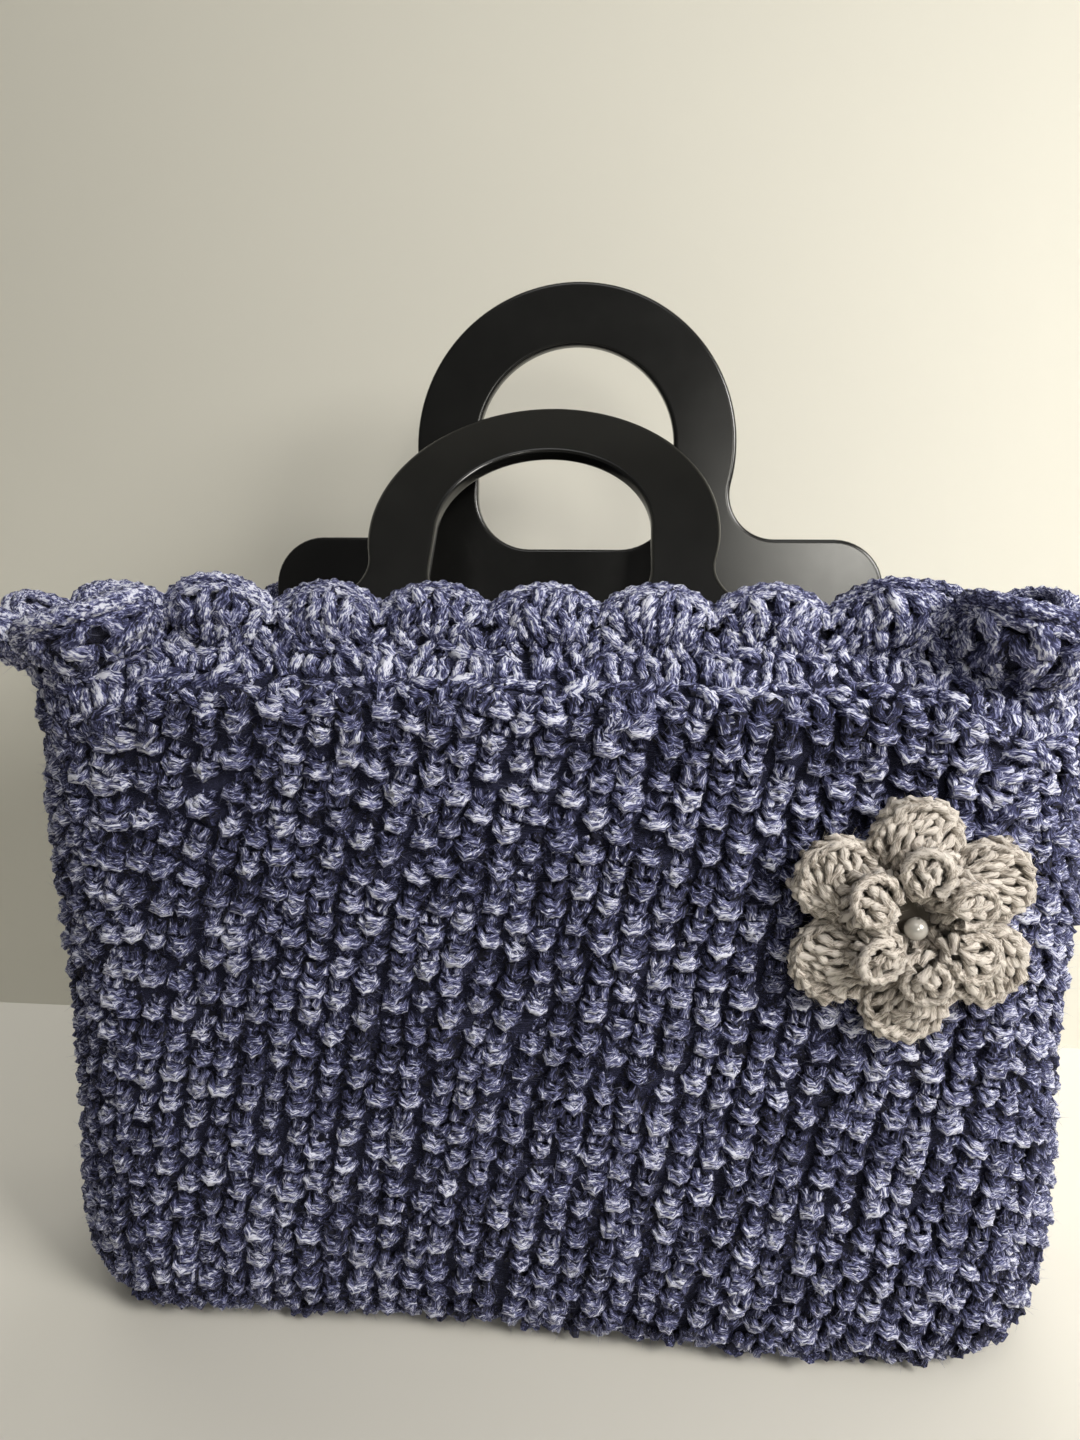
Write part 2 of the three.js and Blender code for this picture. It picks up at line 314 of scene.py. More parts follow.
blueYarn = {
    "Deep": (0.006, 0.006, 0.014),
    "Main": (0.036, 0.039, 0.098),
    "Pale": (0.180, 0.190, 0.340),
    "Frost": (0.665, 0.680, 0.780),
    "fibre": 0.42,
    "twist": 0.42,
    "lift": 0.0,
    # strength of the painted shade in the hollows of a stitch and of the painted highlight on its top
    "depth": 0.26,
    "bump": 1.0,
    "sheen": 0.03,
}
taupeYarn = {
    "Deep": (0.085, 0.072, 0.058),
    "Main": (0.235, 0.205, 0.175),
    "Pale": (0.400, 0.355, 0.310),
    "Frost": (0.640, 0.590, 0.540),
    "fibre": 0.42,
    "twist": 0.55,
    "lift": 0.06,
    # strength of the painted shade in the hollows of a stitch and of the painted highlight on its top
    "depth": 0.24,
    "bump": 0.6,
    "sheen": 0.2,
}
bagYarn = yarnMaterial("bagYarn", blueYarn)
# the same yarn, darkened all over as painted shade for the gaps between the wall's stitches
groundYarn = yarnMaterial("groundYarn", dict(blueYarn, lift=-0.1, sheen=0.0), fromStrand=False)
# the same yarn, darkened all over as painted shade for the gaps in the border
deepYarn = yarnMaterial("deepYarn", dict(blueYarn, lift=-0.1), fromStrand=False)
petalYarn = yarnMaterial("petalYarn", taupeYarn)
petalGround = yarnMaterial("petalGround", dict(taupeYarn, lift=-0.05), fromStrand=False)
# the petal yarn darkened all over as painted shade
petalDeep = yarnMaterial("petalDeep", dict(taupeYarn, lift=-0.25), fromStrand=False)
print("yarn materials made")


# Trees: one spins yarn along paths, the other sews stitches on points

def spinTree():
    inputs = [("Plies", "Int", 3), ("Groove", "Float", 0.12), ("Turns", "Float", 50.0)]
    tree, given, result = shapeTree("spinYarn", inputs)
    curve = out(put(tree, "GeometryNodeMeshToCurve", {"Mesh": given["Geometry"]}))
    length = out(put(tree, "GeometryNodeSplineParameter"), "Length")
    path = put(tree, "GeometryNodeCaptureAttribute", {"Geometry": curve})
    path.capture_items.new("FLOAT", "Along")
    tree.links.new(length, path.inputs["Along"])
    tilt = math2(tree, "MULTIPLY", math2(tree, "MULTIPLY", length, given["Turns"]), math.tau)
    spun = put(tree, "GeometryNodeSetCurveTilt", {"Curve": out(path), "Tilt": tilt})

    innerRadius = math2(tree, "SUBTRACT", 1.0, given["Groove"])
    star = put(tree, "GeometryNodeCurveStar",
               {"Points": given["Plies"], "Inner Radius": innerRadius, "Outer Radius": 1.0, "Twist": 0.0})
    section = put(tree, "GeometryNodeCaptureAttribute", {"Geometry": out(star)})
    section.capture_items.new("VECTOR", "Across")
    tree.links.new(out(put(tree, "GeometryNodeInputPosition")), section.inputs["Across"])

    tube = put(tree, "GeometryNodeCurveToMesh",
               {"Curve": out(spun), "Profile Curve": out(section), "Scale": namedValue(tree, "thick"),
                "Fill Caps": True})
    across = scaled(tree, section.outputs["Across"], 2 * mm)
    lengthwise = out(put(tree, "ShaderNodeCombineXYZ", {2: path.outputs["Along"]}))
    strand = vector2(tree, "ADD", across, lengthwise)
    stored = put(tree, "GeometryNodeStoreNamedAttribute",
                 {"Geometry": out(tube), "Name": "strand", "Value": strand}, data_type="FLOAT_VECTOR")
    soft = put(tree, "GeometryNodeSetShadeSmooth", {"Geometry": out(stored)})
    return finishTree(tree, out(soft), given, result)


def sewTree():
    inputs = [("Stitches", "Collection", None), ("Kinds", "Int", 1), ("Wobble", "Float", 0.1),
              ("Spread", "Float", 0.08), ("Seed", "Int", 1)]
    tree, given, result = shapeTree("sewStitches", inputs)

    def draw(kind, low, high, step):
        seed = math2(tree, "ADD", given["Seed"], step)
        feeds = {"Min": low, "Max": high, "Seed": seed}
        return out(put(tree, "FunctionNodeRandomValue", feeds, data_type=kind))

    facing = put(tree, "FunctionNodeAxesToRotation",
                 {"Primary Axis": namedValue(tree, "outward", "FLOAT_VECTOR"),
                  "Secondary Axis": namedValue(tree, "upward", "FLOAT_VECTOR")},
                 primary_axis="Z", secondary_axis="Y")
    sway = scaled(tree, draw("FLOAT_VECTOR", (-1, -1, -1), (1, 1, 1), 0), given["Wobble"])
    sway = out(put(tree, "FunctionNodeEulerToRotation", {"Euler": sway}))
    turned = put(tree, "FunctionNodeRotateRotation", {"Rotation": out(facing), "Rotate By": sway},
                 rotation_space="LOCAL")
    least = math2(tree, "SUBTRACT", 1.0, given["Spread"])
    most = math2(tree, "ADD", 1.0, given["Spread"])
    scale = scaled(tree, namedValue(tree, "fit", "FLOAT_VECTOR"), draw("FLOAT", least, most, 1))
    shapes = put(tree, "GeometryNodeCollectionInfo",
                 {"Collection": given["Stitches"], "Separate Children": True, "Reset Children": True})
    last = math2(tree, "SUBTRACT", given["Kinds"], 1)
    placed = put(tree, "GeometryNodeInstanceOnPoints",
                 {"Points": given["Geometry"], "Instance": out(shapes), "Pick Instance": True,
                  "Instance Index": draw("INT", 0, last, 2), "Rotation": out(turned), "Scale": scale})
    shaded = put(tree, "GeometryNodeStoreNamedAttribute",
                 {"Geometry": out(placed), "Name": "shade", "Value": draw("FLOAT", 0.0, 1.0, 3)},
                 data_type="FLOAT", domain="INSTANCE")
    return finishTree(tree, out(shaded), given, result)


spinYarn = spinTree()
sewStitches = sewTree()
patterns = bpy.data.collections.new("patterns")
bpy.context.scene.collection.children.link(patterns)


def smoothPath(points, steps):
    points = np.asarray(points, float)
    knots = np.concatenate([[2 * points[0] - points[1]], points, [2 * points[-1] - points[-2]]])
    path = []
    for i in range(len(points) - 1):
        a, b, c, d = knots[i:i + 4]
        for t in np.arange(steps) / steps:
            path.append(0.5 * (2 * b + (c - a) * t + (2 * a - 5 * b + 4 * c - d) * t ** 2
                               + (3 * b - a - 3 * c + d) * t ** 3))
    path.append(points[-1])
    return np.array(path)


def yarnObject(name, strands, material, groove=0.12, turns=50.0, rise=0.75):
    # strands is a list of (path, radius or radii), each one length of yarn
    points, edges, thick, shade = [], [], [], []
    for number, (path, radius) in enumerate(strands):
        first = len(points)
        points.extend(path)
        edges.extend((first + i, first + i + 1) for i in range(len(path) - 1))
        thick.extend(np.broadcast_to(np.asarray(radius, float) * mm, len(path)))
        shade.extend([(number * spinning["shadeStep"]) % 1] * len(path))
    mesh = makeMesh(name, points, edges=edges)
    setFloats(mesh, "thick", thick)
    setFloats(mesh, "shade", shade)
    # one height for the whole strand, a little above the middle, which gives it a slight painted highlight
    setFloats(mesh, "rise", [rise] * len(points))
    piece = addObject(name, mesh)
    addModifier(piece, spinYarn, {"Plies": spinning["plies"], "Groove": groove, "Turns": turns,
                                  "Material": material})
    return settle(piece)


def stitchPattern(name, kinds, material, tone=(-2.5, 3.3)):
    # tone holds the heights of a stitch between which its yarn goes from painted shade to a painted highlight
    low, high = tone
    group = bpy.data.collections.new(name)
    patterns.children.link(group)
    for number, strands in enumerate(kinds):
        stitch = yarnObject(f"{name}{number}", strands, material)
        for label in ("shade", "rise"):
            stitch.data.attributes.remove(stitch.data.attributes[label])
        heights = np.array([v.co.z for v in stitch.data.vertices]) / mm
        setFloats(stitch.data, "rise", np.clip((heights - low) / (high - low), 0, 1))
        bpy.context.scene.collection.objects.unlink(stitch)
        group.objects.link(stitch)
    return group


def sewn(name, group, spots, material, seed, loose=(0.1, 0.07)):
    # spots holds the place, the outward and upward directions and the size of each stitch,
    # loose how far it may turn from them, in radians, and the spread of its size
    wobble, spread = loose
    places, outward, upward, fit = (np.array([spot[i] for spot in spots]) for i in range(4))
    mesh = makeMesh(name, places)
    setVectors(mesh, "outward", outward)
    setVectors(mesh, "upward", upward)
    setVectors(mesh, "fit", fit)
    piece = addObject(name, mesh)
    addModifier(piece, sewStitches, {"Stitches": group, "Kinds": len(group.objects), "Wobble": wobble,
                                     "Spread": spread, "Seed": seed, "Material": material})
    return settle(piece)


# Bag wall: the same sections as the frame's bag, followed smoothly from the base edge to the rim

wall = {
    "thickness": 5,
    "around": 817,  # length of a round of stitches
    "gap": 0.3,
    "columns": 480,
    "heights": 160,
    "bulgeHalfWidth": 128,
    "frontHold": (115, 140),  # half widths between which the handle plate lets go of the wall
    "backHold": (116, 150),
    "waveHeight": 70,
    "waves": [(-47, 50, 3), (92, 46, -4)],  # x, spread, shift
    "dents": [((166, -30, 104), 24, 4), ((-166, -25, 95), 55, 5)],  # middle, spread, depth
    "sections": [  # z, half width, front, back, corner, bulge
        (0, 150, -43, 41, 36, 0),
        (2.5, 157, -49, 46, 38, 0.5),
        (9, 163, -54, 50, 40, 1),
        (26, 167, -57, 52, 41, 2),
        (60, 168.5, -58, 53, 42, 3.5),
        (110, 168, -58, 52.5, 42, 4),
        (160, 167, -57.5, 50.5, 42, 3.5),
        (196, 165, -56.5, 48, 41, 1.5),
    ],
    "collar": [  # front below, back below, end height, half width, front corner, corner
        (46, 46, 205, 165, -56, 40),
        (33, 40, 213, 165.5, -55, 40),
        (20, 34, 220, 168, -53, 40),
    ],
}
plate = {
    "thickness": 5,
    "edgeRound": 1.2,
    "flatRim": 0.5,  # flat strip beside the rounded edge
    "archRadius": 57.5,
    "holeRadius": 35.2,
    "archCentre": 33.4,
    "holeBottom": -4,
    "holeCorner": 19,
    "wingHalfWidth": 110,
    "wingDepth": 44,
    "wingRound": 17.5,
    "wingFillet": 16,
    "front": {"x": -4, "y": -21, "z": 240, "lean": 46.8},
    "back": {"x": 4, "y": 42.5, "z": 256.5, "lean": 8.9},
}


def smoothStep(value, low, high):
    t = np.clip((value - low) / (high - low), 0, 1)
    return t * t * (3 - 2 * t)


def roundedRing(halfWidth, front, back, corner, count):
    # evenly spaced points, anticlockwise from the middle of the front
    right, quarter = halfWidth - corner, 0.5 * math.pi * corner
    side = back - front - 2 * corner
    lengths = [right, quarter, side, quarter, 2 * right, quarter, side, quarter, right]
    starts = np.concatenate([[0], np.cumsum(lengths)])
    way = np.arange(count) / count * starts[-1]
    leg = np.searchsorted(starts, way, side="right") - 1
    part = way - starts[leg]
    turn = part / corner
    low, high = front + corner, back - corner
    x = np.select([leg == i for i in range(9)], [
        part, right + corner * np.sin(turn), halfWidth + 0 * part, right + corner * np.cos(turn),
        right - part, -right - corner * np.sin(turn), -halfWidth + 0 * part, -right - corner * np.cos(turn),
        part - right])
    y = np.select([leg == i for i in range(9)], [
        front + 0 * part, low - corner * np.cos(turn), low + part, high + corner * np.sin(turn),
        back + 0 * part, high + corner * np.cos(turn), high - part, low - corner * np.sin(turn),
        front + 0 * part])
    return x, y


def sectionRing(section, inset, count):
    z, halfWidth, front, back, corner, bulge = section
    x, y = roundedRing(halfWidth - inset, front + inset, back - inset, corner - inset, count)
    across = np.minimum(1, abs(x) / wall["bulgeHalfWidth"])
    side = np.sign(y)
    y = y + side * bulge * (1 - across ** 2)
    low = (1 - smoothStep(z, 0, wall["waveHeight"])) * (side < 0)
    for middle, spread, shift in wall["waves"]:
        y = y + low * shift * np.exp(-((x - middle) / spread) ** 2)
    ring = np.stack([x, y, np.full(count, float(z))], axis=1)
    for middle, spread, depth in wall["dents"]:
        away = np.linalg.norm(ring - np.array(middle), axis=1) / spread
        ring[:, 0] -= np.sign(middle[0]) * depth * np.exp(-away ** 2)
    return ring


def besidePlate(where, below, ahead):
    lean = math.radians(where["lean"])
    y = where["y"] - below * math.sin(lean) - ahead * math.cos(lean)
    return y, where["z"] - below * math.cos(lean) + ahead * math.sin(lean)


def collarRing(row, inset, count):
    frontBelow, backBelow, endHeight, halfWidth, frontCorner, corner = row
    depth = wall["thickness"] - inset + wall["gap"]
    frontY, frontZ = besidePlate(plate["front"], frontBelow, depth)
    backY, backZ = besidePlate(plate["back"], backBelow, -plate["thickness"] - depth)
    x, y = roundedRing(halfWidth - inset, frontCorner + inset, backY, corner - inset, count)
    ahead = y < 0
    free = np.where(ahead, smoothStep(abs(x), *wall["frontHold"]), smoothStep(abs(x), *wall["backHold"]))
    hold = 1 - free
    pull = np.where(ahead, frontY - frontCorner - inset, 0)
    z = endHeight + hold * (np.where(ahead, frontZ, backZ) - endHeight)
    return np.stack([x, y + hold * pull, z], axis=1)


def splineThrough(rings, samples):
    # Catmull-Rom through the rings, then evenly spaced along each column
    rings = np.asarray(rings)
    steps = np.linalg.norm(np.diff(rings, axis=0), axis=2).mean(axis=1)
    knots = np.concatenate([[0], np.cumsum(steps)])
    slopes = np.gradient(rings, knots, axis=0)
    way = np.linspace(0, knots[-1], samples * 3)
    leg = np.clip(np.searchsorted(knots, way, side="right") - 1, 0, len(knots) - 2)
    span = (knots[leg + 1] - knots[leg])[:, None, None]
    t = ((way - knots[leg]) / (knots[leg + 1] - knots[leg]))[:, None, None]
    dense = ((2 * t ** 3 - 3 * t ** 2 + 1) * rings[leg] + (t ** 3 - 2 * t ** 2 + t) * span * slopes[leg]
             + (3 * t ** 2 - 2 * t ** 3) * rings[leg + 1] + (t ** 3 - t ** 2) * span * slopes[leg + 1])
    lengths = np.linalg.norm(np.diff(dense, axis=0), axis=2)
    reach = np.concatenate([np.zeros((1, dense.shape[1])), np.cumsum(lengths, axis=0)])
    even = np.empty((samples, dense.shape[1], 3))
    for column in range(dense.shape[1]):
        aims = np.linspace(0, reach[-1, column], samples)
        for axis in range(3):
            even[:, column, axis] = np.interp(aims, reach[:, column], dense[:, column, axis])
    return even, reach[-1]


def wallRings(inset):
    count = wall["columns"]
    rings = [sectionRing(section, inset, count) for section in wall["sections"]]
    return rings + [collarRing(row, inset, count) for row in wall["collar"]]


def wallFrames(surface):
    # unit vectors along, up and out of the wall at every sample
    along = unit(np.roll(surface, -1, axis=1) - np.roll(surface, 1, axis=1))
    up = unit(np.gradient(surface, axis=0))
    return along, up, unit(np.cross(along, up))


surface, columnLengths = splineThrough(wallRings(0), wall["heights"])
alongWall, upWall, outOfWall = wallFrames(surface)


def onWall(field, share, height):
    # value of a field at a share of the way round and a share of the column's height
    u = (share % 1) * wall["columns"]
    v = np.clip(height, 0, 1) * (wall["heights"] - 1)
    i, j = int(u), min(int(v), wall["heights"] - 2)
    p, q = u - i, v - j
    k = (i + 1) % wall["columns"]
    i = i % wall["columns"]
    low = field[j, i] * (1 - p) + field[j, k] * p
    high = field[j + 1, i] * (1 - p) + field[j + 1, k] * p
    return low * (1 - q) + high * q


def columnLength(share):
    return columnLengths[int((share % 1) * wall["columns"]) % wall["columns"]]


# Ground of the wall: an inner layer of the same yarn that shows between the stitches, darkened as painted
# shade for the hollows between them

ground = {
    "outside": 3.8,  # below the wall's outer face, and less of it under the rim band
    "underBand": 2.3,
    "bandFrom": (0.90, 0.93),  # shares of the wall's height
    "inside": 4.6,
    "columnStep": 4,
    "heightStep": 4,
}


def quadsBetween(rows, count, first=0, closed=False):
    # faces between rows of count points that go round, starting at the point numbered first
    for row in range(rows if closed else rows - 1):
        low, high = first + row * count, first + (row + 1) % rows * count
        for c in range(count):
            n = (c + 1) % count
            yield low + c, low + n, high + n, high + c


def ringShell(name, rings, material, closed=False):
    # skin over rings of equal counts, ended by fans or closed on itself
    count = len(rings[0])
    points = [p for ring in rings for p in ring]
    faces = list(quadsBetween(len(rings), count, closed=closed))
    if not closed:
        last = (len(rings) - 1) * count
        for first, turned in ((0, True), (last, False)):
            middle = len(points)
            points.append(np.mean(points[first:first + count], axis=0))
            for c in range(count):
                a, b = first + c, first + (c + 1) % count
                faces.append((b, a, middle) if turned else (a, b, middle))
    return addObject(name, makeMesh(name, points, faces, material=material))


def makeGround():
    columns = slice(0, None, ground["columnStep"])
    levels = list(range(0, wall["heights"], ground["heightStep"])) + [wall["heights"] - 1]
    underBand = smoothStep(np.linspace(0, 1, wall["heights"]), *ground["bandFrom"])[:, None, None]
    deep = ground["outside"] + (ground["underBand"] - ground["outside"]) * underBand
    outside = surface - outOfWall * deep
    inside = surface - outOfWall * ground["inside"]
    outside[..., 2] = np.maximum(outside[..., 2], ground["outside"])
    inside[..., 2] = np.maximum(inside[..., 2], ground["inside"])
    rings = [outside[level, columns] for level in levels]
    rings += [inside[level, columns] for level in reversed(levels)]
    finishPiece(ringShell("bag_ground", rings, groundYarn), "bag_yarn", "bag_body")


makeGround()


# Moss stitches of the wall: a cup of yarn with a knot across it, a bar above and two legs that rise
# to the next cup. Rows of short stitches make a band below the rim

moss = {
    "columns": 96,
    "period": 10.45,  # from one cup to the next in a column
    "pitch": 8.55,
    "slant": 0.157,  # how far a column drifts to the right as it rises
    "sunk": 2.6,  # from the wall's outer face to the plane the stitches stand on
    "kinds": 7,
    "cup": [(-3.7, 2.5, -2.2), (-2.8, 0.5, -0.1), (-1.1, -0.7, 0.9), (1.1, -0.7, 0.9), (2.8, 0.5, -0.1),
            (3.7, 2.5, -2.2)],
    "cupRadius": [1.3, 1.65, 1.8, 1.8, 1.65, 1.3],
    "bar": [(-2.9, 3.5, -1.5), (-1.1, 2.3, 0.4), (1.1, 2.3, 0.4), (2.9, 3.5, -1.5)],
    "barRadius": [1.3, 1.6, 1.6, 1.3],
    "knot": [(-2.4, 0.5, -0.3), (-0.5, 1.2, 1.2), (2.0, 0.3, 0.2)],
    "knotRadius": [1.3, 1.8, 1.3],
    "leg": [(0.8, 4.0, -1.4), (1.7, 5.8, -0.3), (2.3, 7.8, -1.6)],
    "legRadius": 1.9,
    "firstRow": (0.82, 0.32),  # height of the lowest cup in even and odd columns, in periods
    "fuller": 0.1,  # how much fuller the stitches are below the rim
    "fullFrom": (0.5, 0.85),  # shares of the wall's height
    "drift": 0.6,  # how far a stitch sits from its place
    "stray": 0.7,  # how far a point of a stitch strays from the pattern
    "loose": (0.28, 0.14),
    "endsFrom": 135,  # half width beyond which a stitch belongs to the ends
}
band = {
    "height": 23,
    "rows": [  # name, number round, below the rim, mirrored
        ("bump", 146, 2.4, 1),
        ("post", 180, 8.2, 1),
        ("bump", 146, 14.2, -1),
        ("bump", 128, 18.8, 1),
    ],
    "post": [(1.2, -4.4, -1.9), (0.8, -2.4, 0.3), (0, 0, 0.8), (-0.6, 2.4, 0.3), (-1.0, 4.4, -1.7)],
    "bump": [(-3.2, 2.0, -1.6), (-1.4, 0.8, 0.5), (1.4, -0.7, 0.8), (3.3, -2.1, -1.6)],
    "postRadius": 2.45,
    "bumpRadius": 2.3,
    "sunk": 2.9,
    "kinds": 6,
    # heights in a stitch between which the painted shade of its hollows turns into a painted highlight on its
    # top
    "tone": (-2.4, 3.8),
    "stray": 0.9,
    "drift": 1.1,
    "sideDrift": 0.08,  # in stitches
    "loose": {"bump": (0.6, 0.2), "post": (0.42, 0.2)},
}


def strayed(rng, points, far):
    return np.array(points, float) + rng.uniform(-far, far, (len(points), 3))


def mossKinds():
    rng = np.random.default_rng(11)
    left = np.array(moss["leg"]) * (-1, 1, 1)
    kinds = []
    for number in range(moss["kinds"]):
        knot = np.array(moss["knot"]) * (1 if number % 2 else -1, 1, 1)
        parts = [(moss["cup"], moss["cupRadius"]), (moss["bar"], moss["barRadius"]),
                 (knot, moss["knotRadius"]), (left, moss["legRadius"]), (moss["leg"], moss["legRadius"])]
        kinds.append([(strayed(rng, path, moss["stray"]), radius) for path, radius in parts])
    return kinds


def wallSpot(share, height, sunk, fit, slant=0.0):
    outward = unit(onWall(outOfWall, share, height))
    upward = onWall(upWall, share, height) + slant * onWall(alongWall, share, height)
    return onWall(surface, share, height) - outward * sunk, outward, upward, fit


def roundAt(share, height, count):
    # width of one of count stitches in a round
    right = onWall(surface, share + 0.5 / count, height)
    return np.linalg.norm(right - onWall(surface, share - 0.5 / count, height))


def restOnFloor(piece):
    # yarn below the bag is pressed flat by the table
    places = np.array([v.co[:] for v in piece.data.vertices])
    places[:, 2] = np.maximum(places[:, 2], 0)
    piece.data.vertices.foreach_set("co", places.ravel())
    piece.data.update()
    return piece


def mossSpots():
    rng = np.random.default_rng(14)
    for column in range(moss["columns"]):
        foot = (column + 0.5) / moss["columns"]
        around = moss["pitch"] * moss["columns"]
        length = columnLength(foot)
        rows = round((length - band["height"]) / moss["period"])
        period = (length - band["height"]) / rows
        for row in range(rows):
            rise = (row + moss["firstRow"][column % 2]) * period + rng.normal(0, moss["drift"])
            share = foot + (moss["slant"] * rise + rng.normal(0, moss["drift"])) / around
            height = rise / length
            pitch = roundAt(share, height, moss["columns"])
            full = 1 + moss["fuller"] * smoothStep(height, *moss["fullFrom"])
            fit = (full * pitch / moss["pitch"], full * period / moss["period"], full)
            yield wallSpot(share, height, moss["sunk"], fit, moss["slant"])


def makeMoss():
    spots = {"front": [], "back": [], "ends": []}
    for spot in mossSpots():
        x, y, _ = spot[0]
        spots["ends" if abs(x) > moss["endsFrom"] else "front" if y < 0 else "back"].append(spot)
    group = stitchPattern("mossStitch", mossKinds(), bagYarn)
    for seed, (where, found) in enumerate(spots.items()):
        yarn = sewn(f"moss_stitches_{where}", group, found, bagYarn, 20 + seed, moss["loose"])
        finishPiece(restOnFloor(yarn), "bag_yarn")


def makeBand():
    rng = np.random.default_rng(12)
    for number, (name, count, below, side) in enumerate(band["rows"]):
        pattern = np.array(band[name]) * (side, 1, 1)
        paths = [smoothPath(strayed(rng, pattern, band["stray"]), 2) for _ in range(band["kinds"])]
        kinds = [[(path, band[f"{name}Radius"])] for path in paths]
        group = stitchPattern(f"band{number}", kinds, bagYarn, band["tone"])
        spots = []
        for column in range(count):
            share = (column + 0.5 + rng.normal(0, band["sideDrift"])) / count
            height = 1 - (below + rng.normal(0, band["drift"])) / columnLength(share)
            width = roundAt(share, height, count) * count / wall["around"]
            spots.append(wallSpot(share, height, band["sunk"], (width, 1, 1), moss["slant"]))
        yarn = sewn(f"rim_band_{number}", group, spots, bagYarn, 30 + number, band["loose"][name])
        finishPiece(yarn, "bag_yarn")


makeMoss()
makeBand()
print("wall stitches sewn")


# Inside and base: flatter stitches of the same yarn

lining = {
    "columns": 96,
    "period": 10.45,
    "sunk": 4.2,
    "flat": 0.55,
    "lowest": 10,
    "top": 2,  # below the rim
    "plateDepth": 58,  # below the rim, where a handle's wings leave no room for stitches
    "plateHalfWidth": 118,
    "cup": [(-4.4, 2.2, -1.6), (-2.4, -0.3, 0.9), (0, -0.9, 1.3), (2.4, -0.3, 0.9), (4.4, 2.2, -1.6)],
    "radius": 2.3,
    "kinds": 4,
    "stray": 0.4,
    "basePitch": (8.6, 5.2),
    "baseFlat": 0.6,
    "baseMargin": (4, 3),  # along the long edges and at the ends of the rows
    "baseRing": 96,
    "baseSunk": 2.7,
    "innerBase": 4.4,
    "innerInset": 2,
}


def insideSpots():
    for column in range(lining["columns"]):
        share = (column + 0.5) / lining["columns"]
        length = columnLength(share)
        for row in range(int((length - lining["top"] - lining["lowest"]) / lining["period"]) + 1):
            rise = lining["lowest"] + (row + 0.5 * (column % 2)) * lining["period"]
            fit = (1, 1, lining["flat"])
            place, outward, upward, fit = wallSpot(share, rise / length, lining["sunk"], fit)
            underPlate = rise > length - lining["plateDepth"] and abs(place[0]) < lining["plateHalfWidth"]
            if not underPlate and rise < length - lining["top"]:
                yield place, -outward, upward, fit


def baseSpots(z, down, inset):
    # rows from the front to the back of the flat base
    _, halfWidth, front, back, corner, _ = wall["sections"][0]
    x, y = roundedRing(halfWidth - inset, front + inset, back - inset, corner - inset, lining["baseRing"])
    wide, tall = lining["basePitch"]
    edge, end = lining["baseMargin"]
    for row, v in enumerate(np.arange(y.min() + edge, y.max() - end, tall)):
        reach = x[abs(y - v) < edge].max()
        for u in np.arange(-reach + end + wide / 2 * (row % 2), reach - end, wide):
            yield (u, v, z), (0, 0, -1 if down else 1), (0, 1, 0), (1, 1, lining["baseFlat"])


def makeInside():
    rng = np.random.default_rng(13)
    paths = [strayed(rng, lining["cup"], lining["stray"]) for _ in range(lining["kinds"])]
    kinds = [[(path, lining["radius"])] for path in paths]
    group = stitchPattern("plainStitch", kinds, bagYarn)
    finishPiece(sewn("inside_stitches", group, list(insideSpots()), bagYarn, 41), "bag_yarn")
    spots = list(baseSpots(lining["baseSunk"], True, 0))
    spots += baseSpots(lining["innerBase"], False, lining["innerInset"])
    yarn = sewn("base_stitches", group, spots, bagYarn, 42)
    finishPiece(restOnFloor(yarn), "bag_yarn")


makeInside()
print("inside and base sewn")


# Border: shells of short stitches that fan out from the rim, each edged by three strands

border = {
    "shells": 24,
    "notch": 7,
    "cut": 1.8,  # how much deeper the notches are between taller shells
    "crest": 19,
    "dome": 2.5,
    "posts": [  # foot and top of each post, as shares of the shell's width
        (-0.27, -0.42), (-0.17, -0.27), (-0.06, -0.09), (0.06, 0.09), (0.17, 0.26), (0.27, 0.41),
    ],
    "rows": [0.28, 0.47, 0.66],  # stitches along a post, as shares of its height
    "stitch": [(-1.5, -3.6, -1.6), (-0.7, -1.6, 0.5), (0.7, 1.6, 0.8), (1.6, 3.6, -1.3)],
    "stitchRadius": [1.8, 2.4, 2.4, 1.8],
    "stitchWidth": 5.2,  # width of a post that the stitch is drawn for
    "stitchSides": (1, 1, -1, 1, -1, 1),  # which kinds of the stitch are mirrored
    "stitchWidths": (0.9, 1.6),  # least and most that a stitch widens with its shell
    "stitchDepth": 1.2,
    "stray": 0.5,
    # heights in a stitch between which the painted shade of its hollows turns into a painted highlight on its
    # top
    "tone": (-2.2, 4.0),
    "loose": (0.18, 0.12),
    "rowDrift": 0.03,
    "postDrift": 0.012,
    "footDrift": 0.1,
    "bow": 4.2,  # how far the posts swell outwards
    "outside": 0.4,  # how deep the stitches outside and inside lie below the swell
    "inside": 3.2,
    "footRows": [(-0.02, 150, 1.0), (0.17, 138, 1.6)],  # row, number round, how far out the stitches stand
    "footHeight": 0.9,
    "edges": [(0.84, 3.0, 2.0), (0.98, 1.3, 2.3), (0.94, -1.9, 2.1)],  # row, ahead, radius of each strand
    "edgeWave": 0.3,
    "edgeGroove": 0.24,
    "edgeTurns": 70,
    "groundHalf": 0.5,
    "groundDepth": 1.4,
    "groundRows": [0, 0.3, 0.6, 0.88],
    "lean": [  # share of the way round, degrees outwards, ruffle, height
        (0, -28, 0, 1), (0.1, -24, 0, 1), (0.14, -4, 2, 1.1), (0.17, 16, 4, 1.25), (0.21, 22, 4, 1.25),
        (0.25, 24, 3, 1.15), (0.31, 18, 2, 1.05), (0.37, 11, 0, 1), (0.63, 11, 0, 1), (0.69, 20, 2, 1.05),
        (0.75, 32, 3, 1.15), (0.82, 38, 4, 1.25), (0.86, -2, 2, 1.1), (0.9, -24, 0, 1), (1, -28, 0, 1),
    ],
}


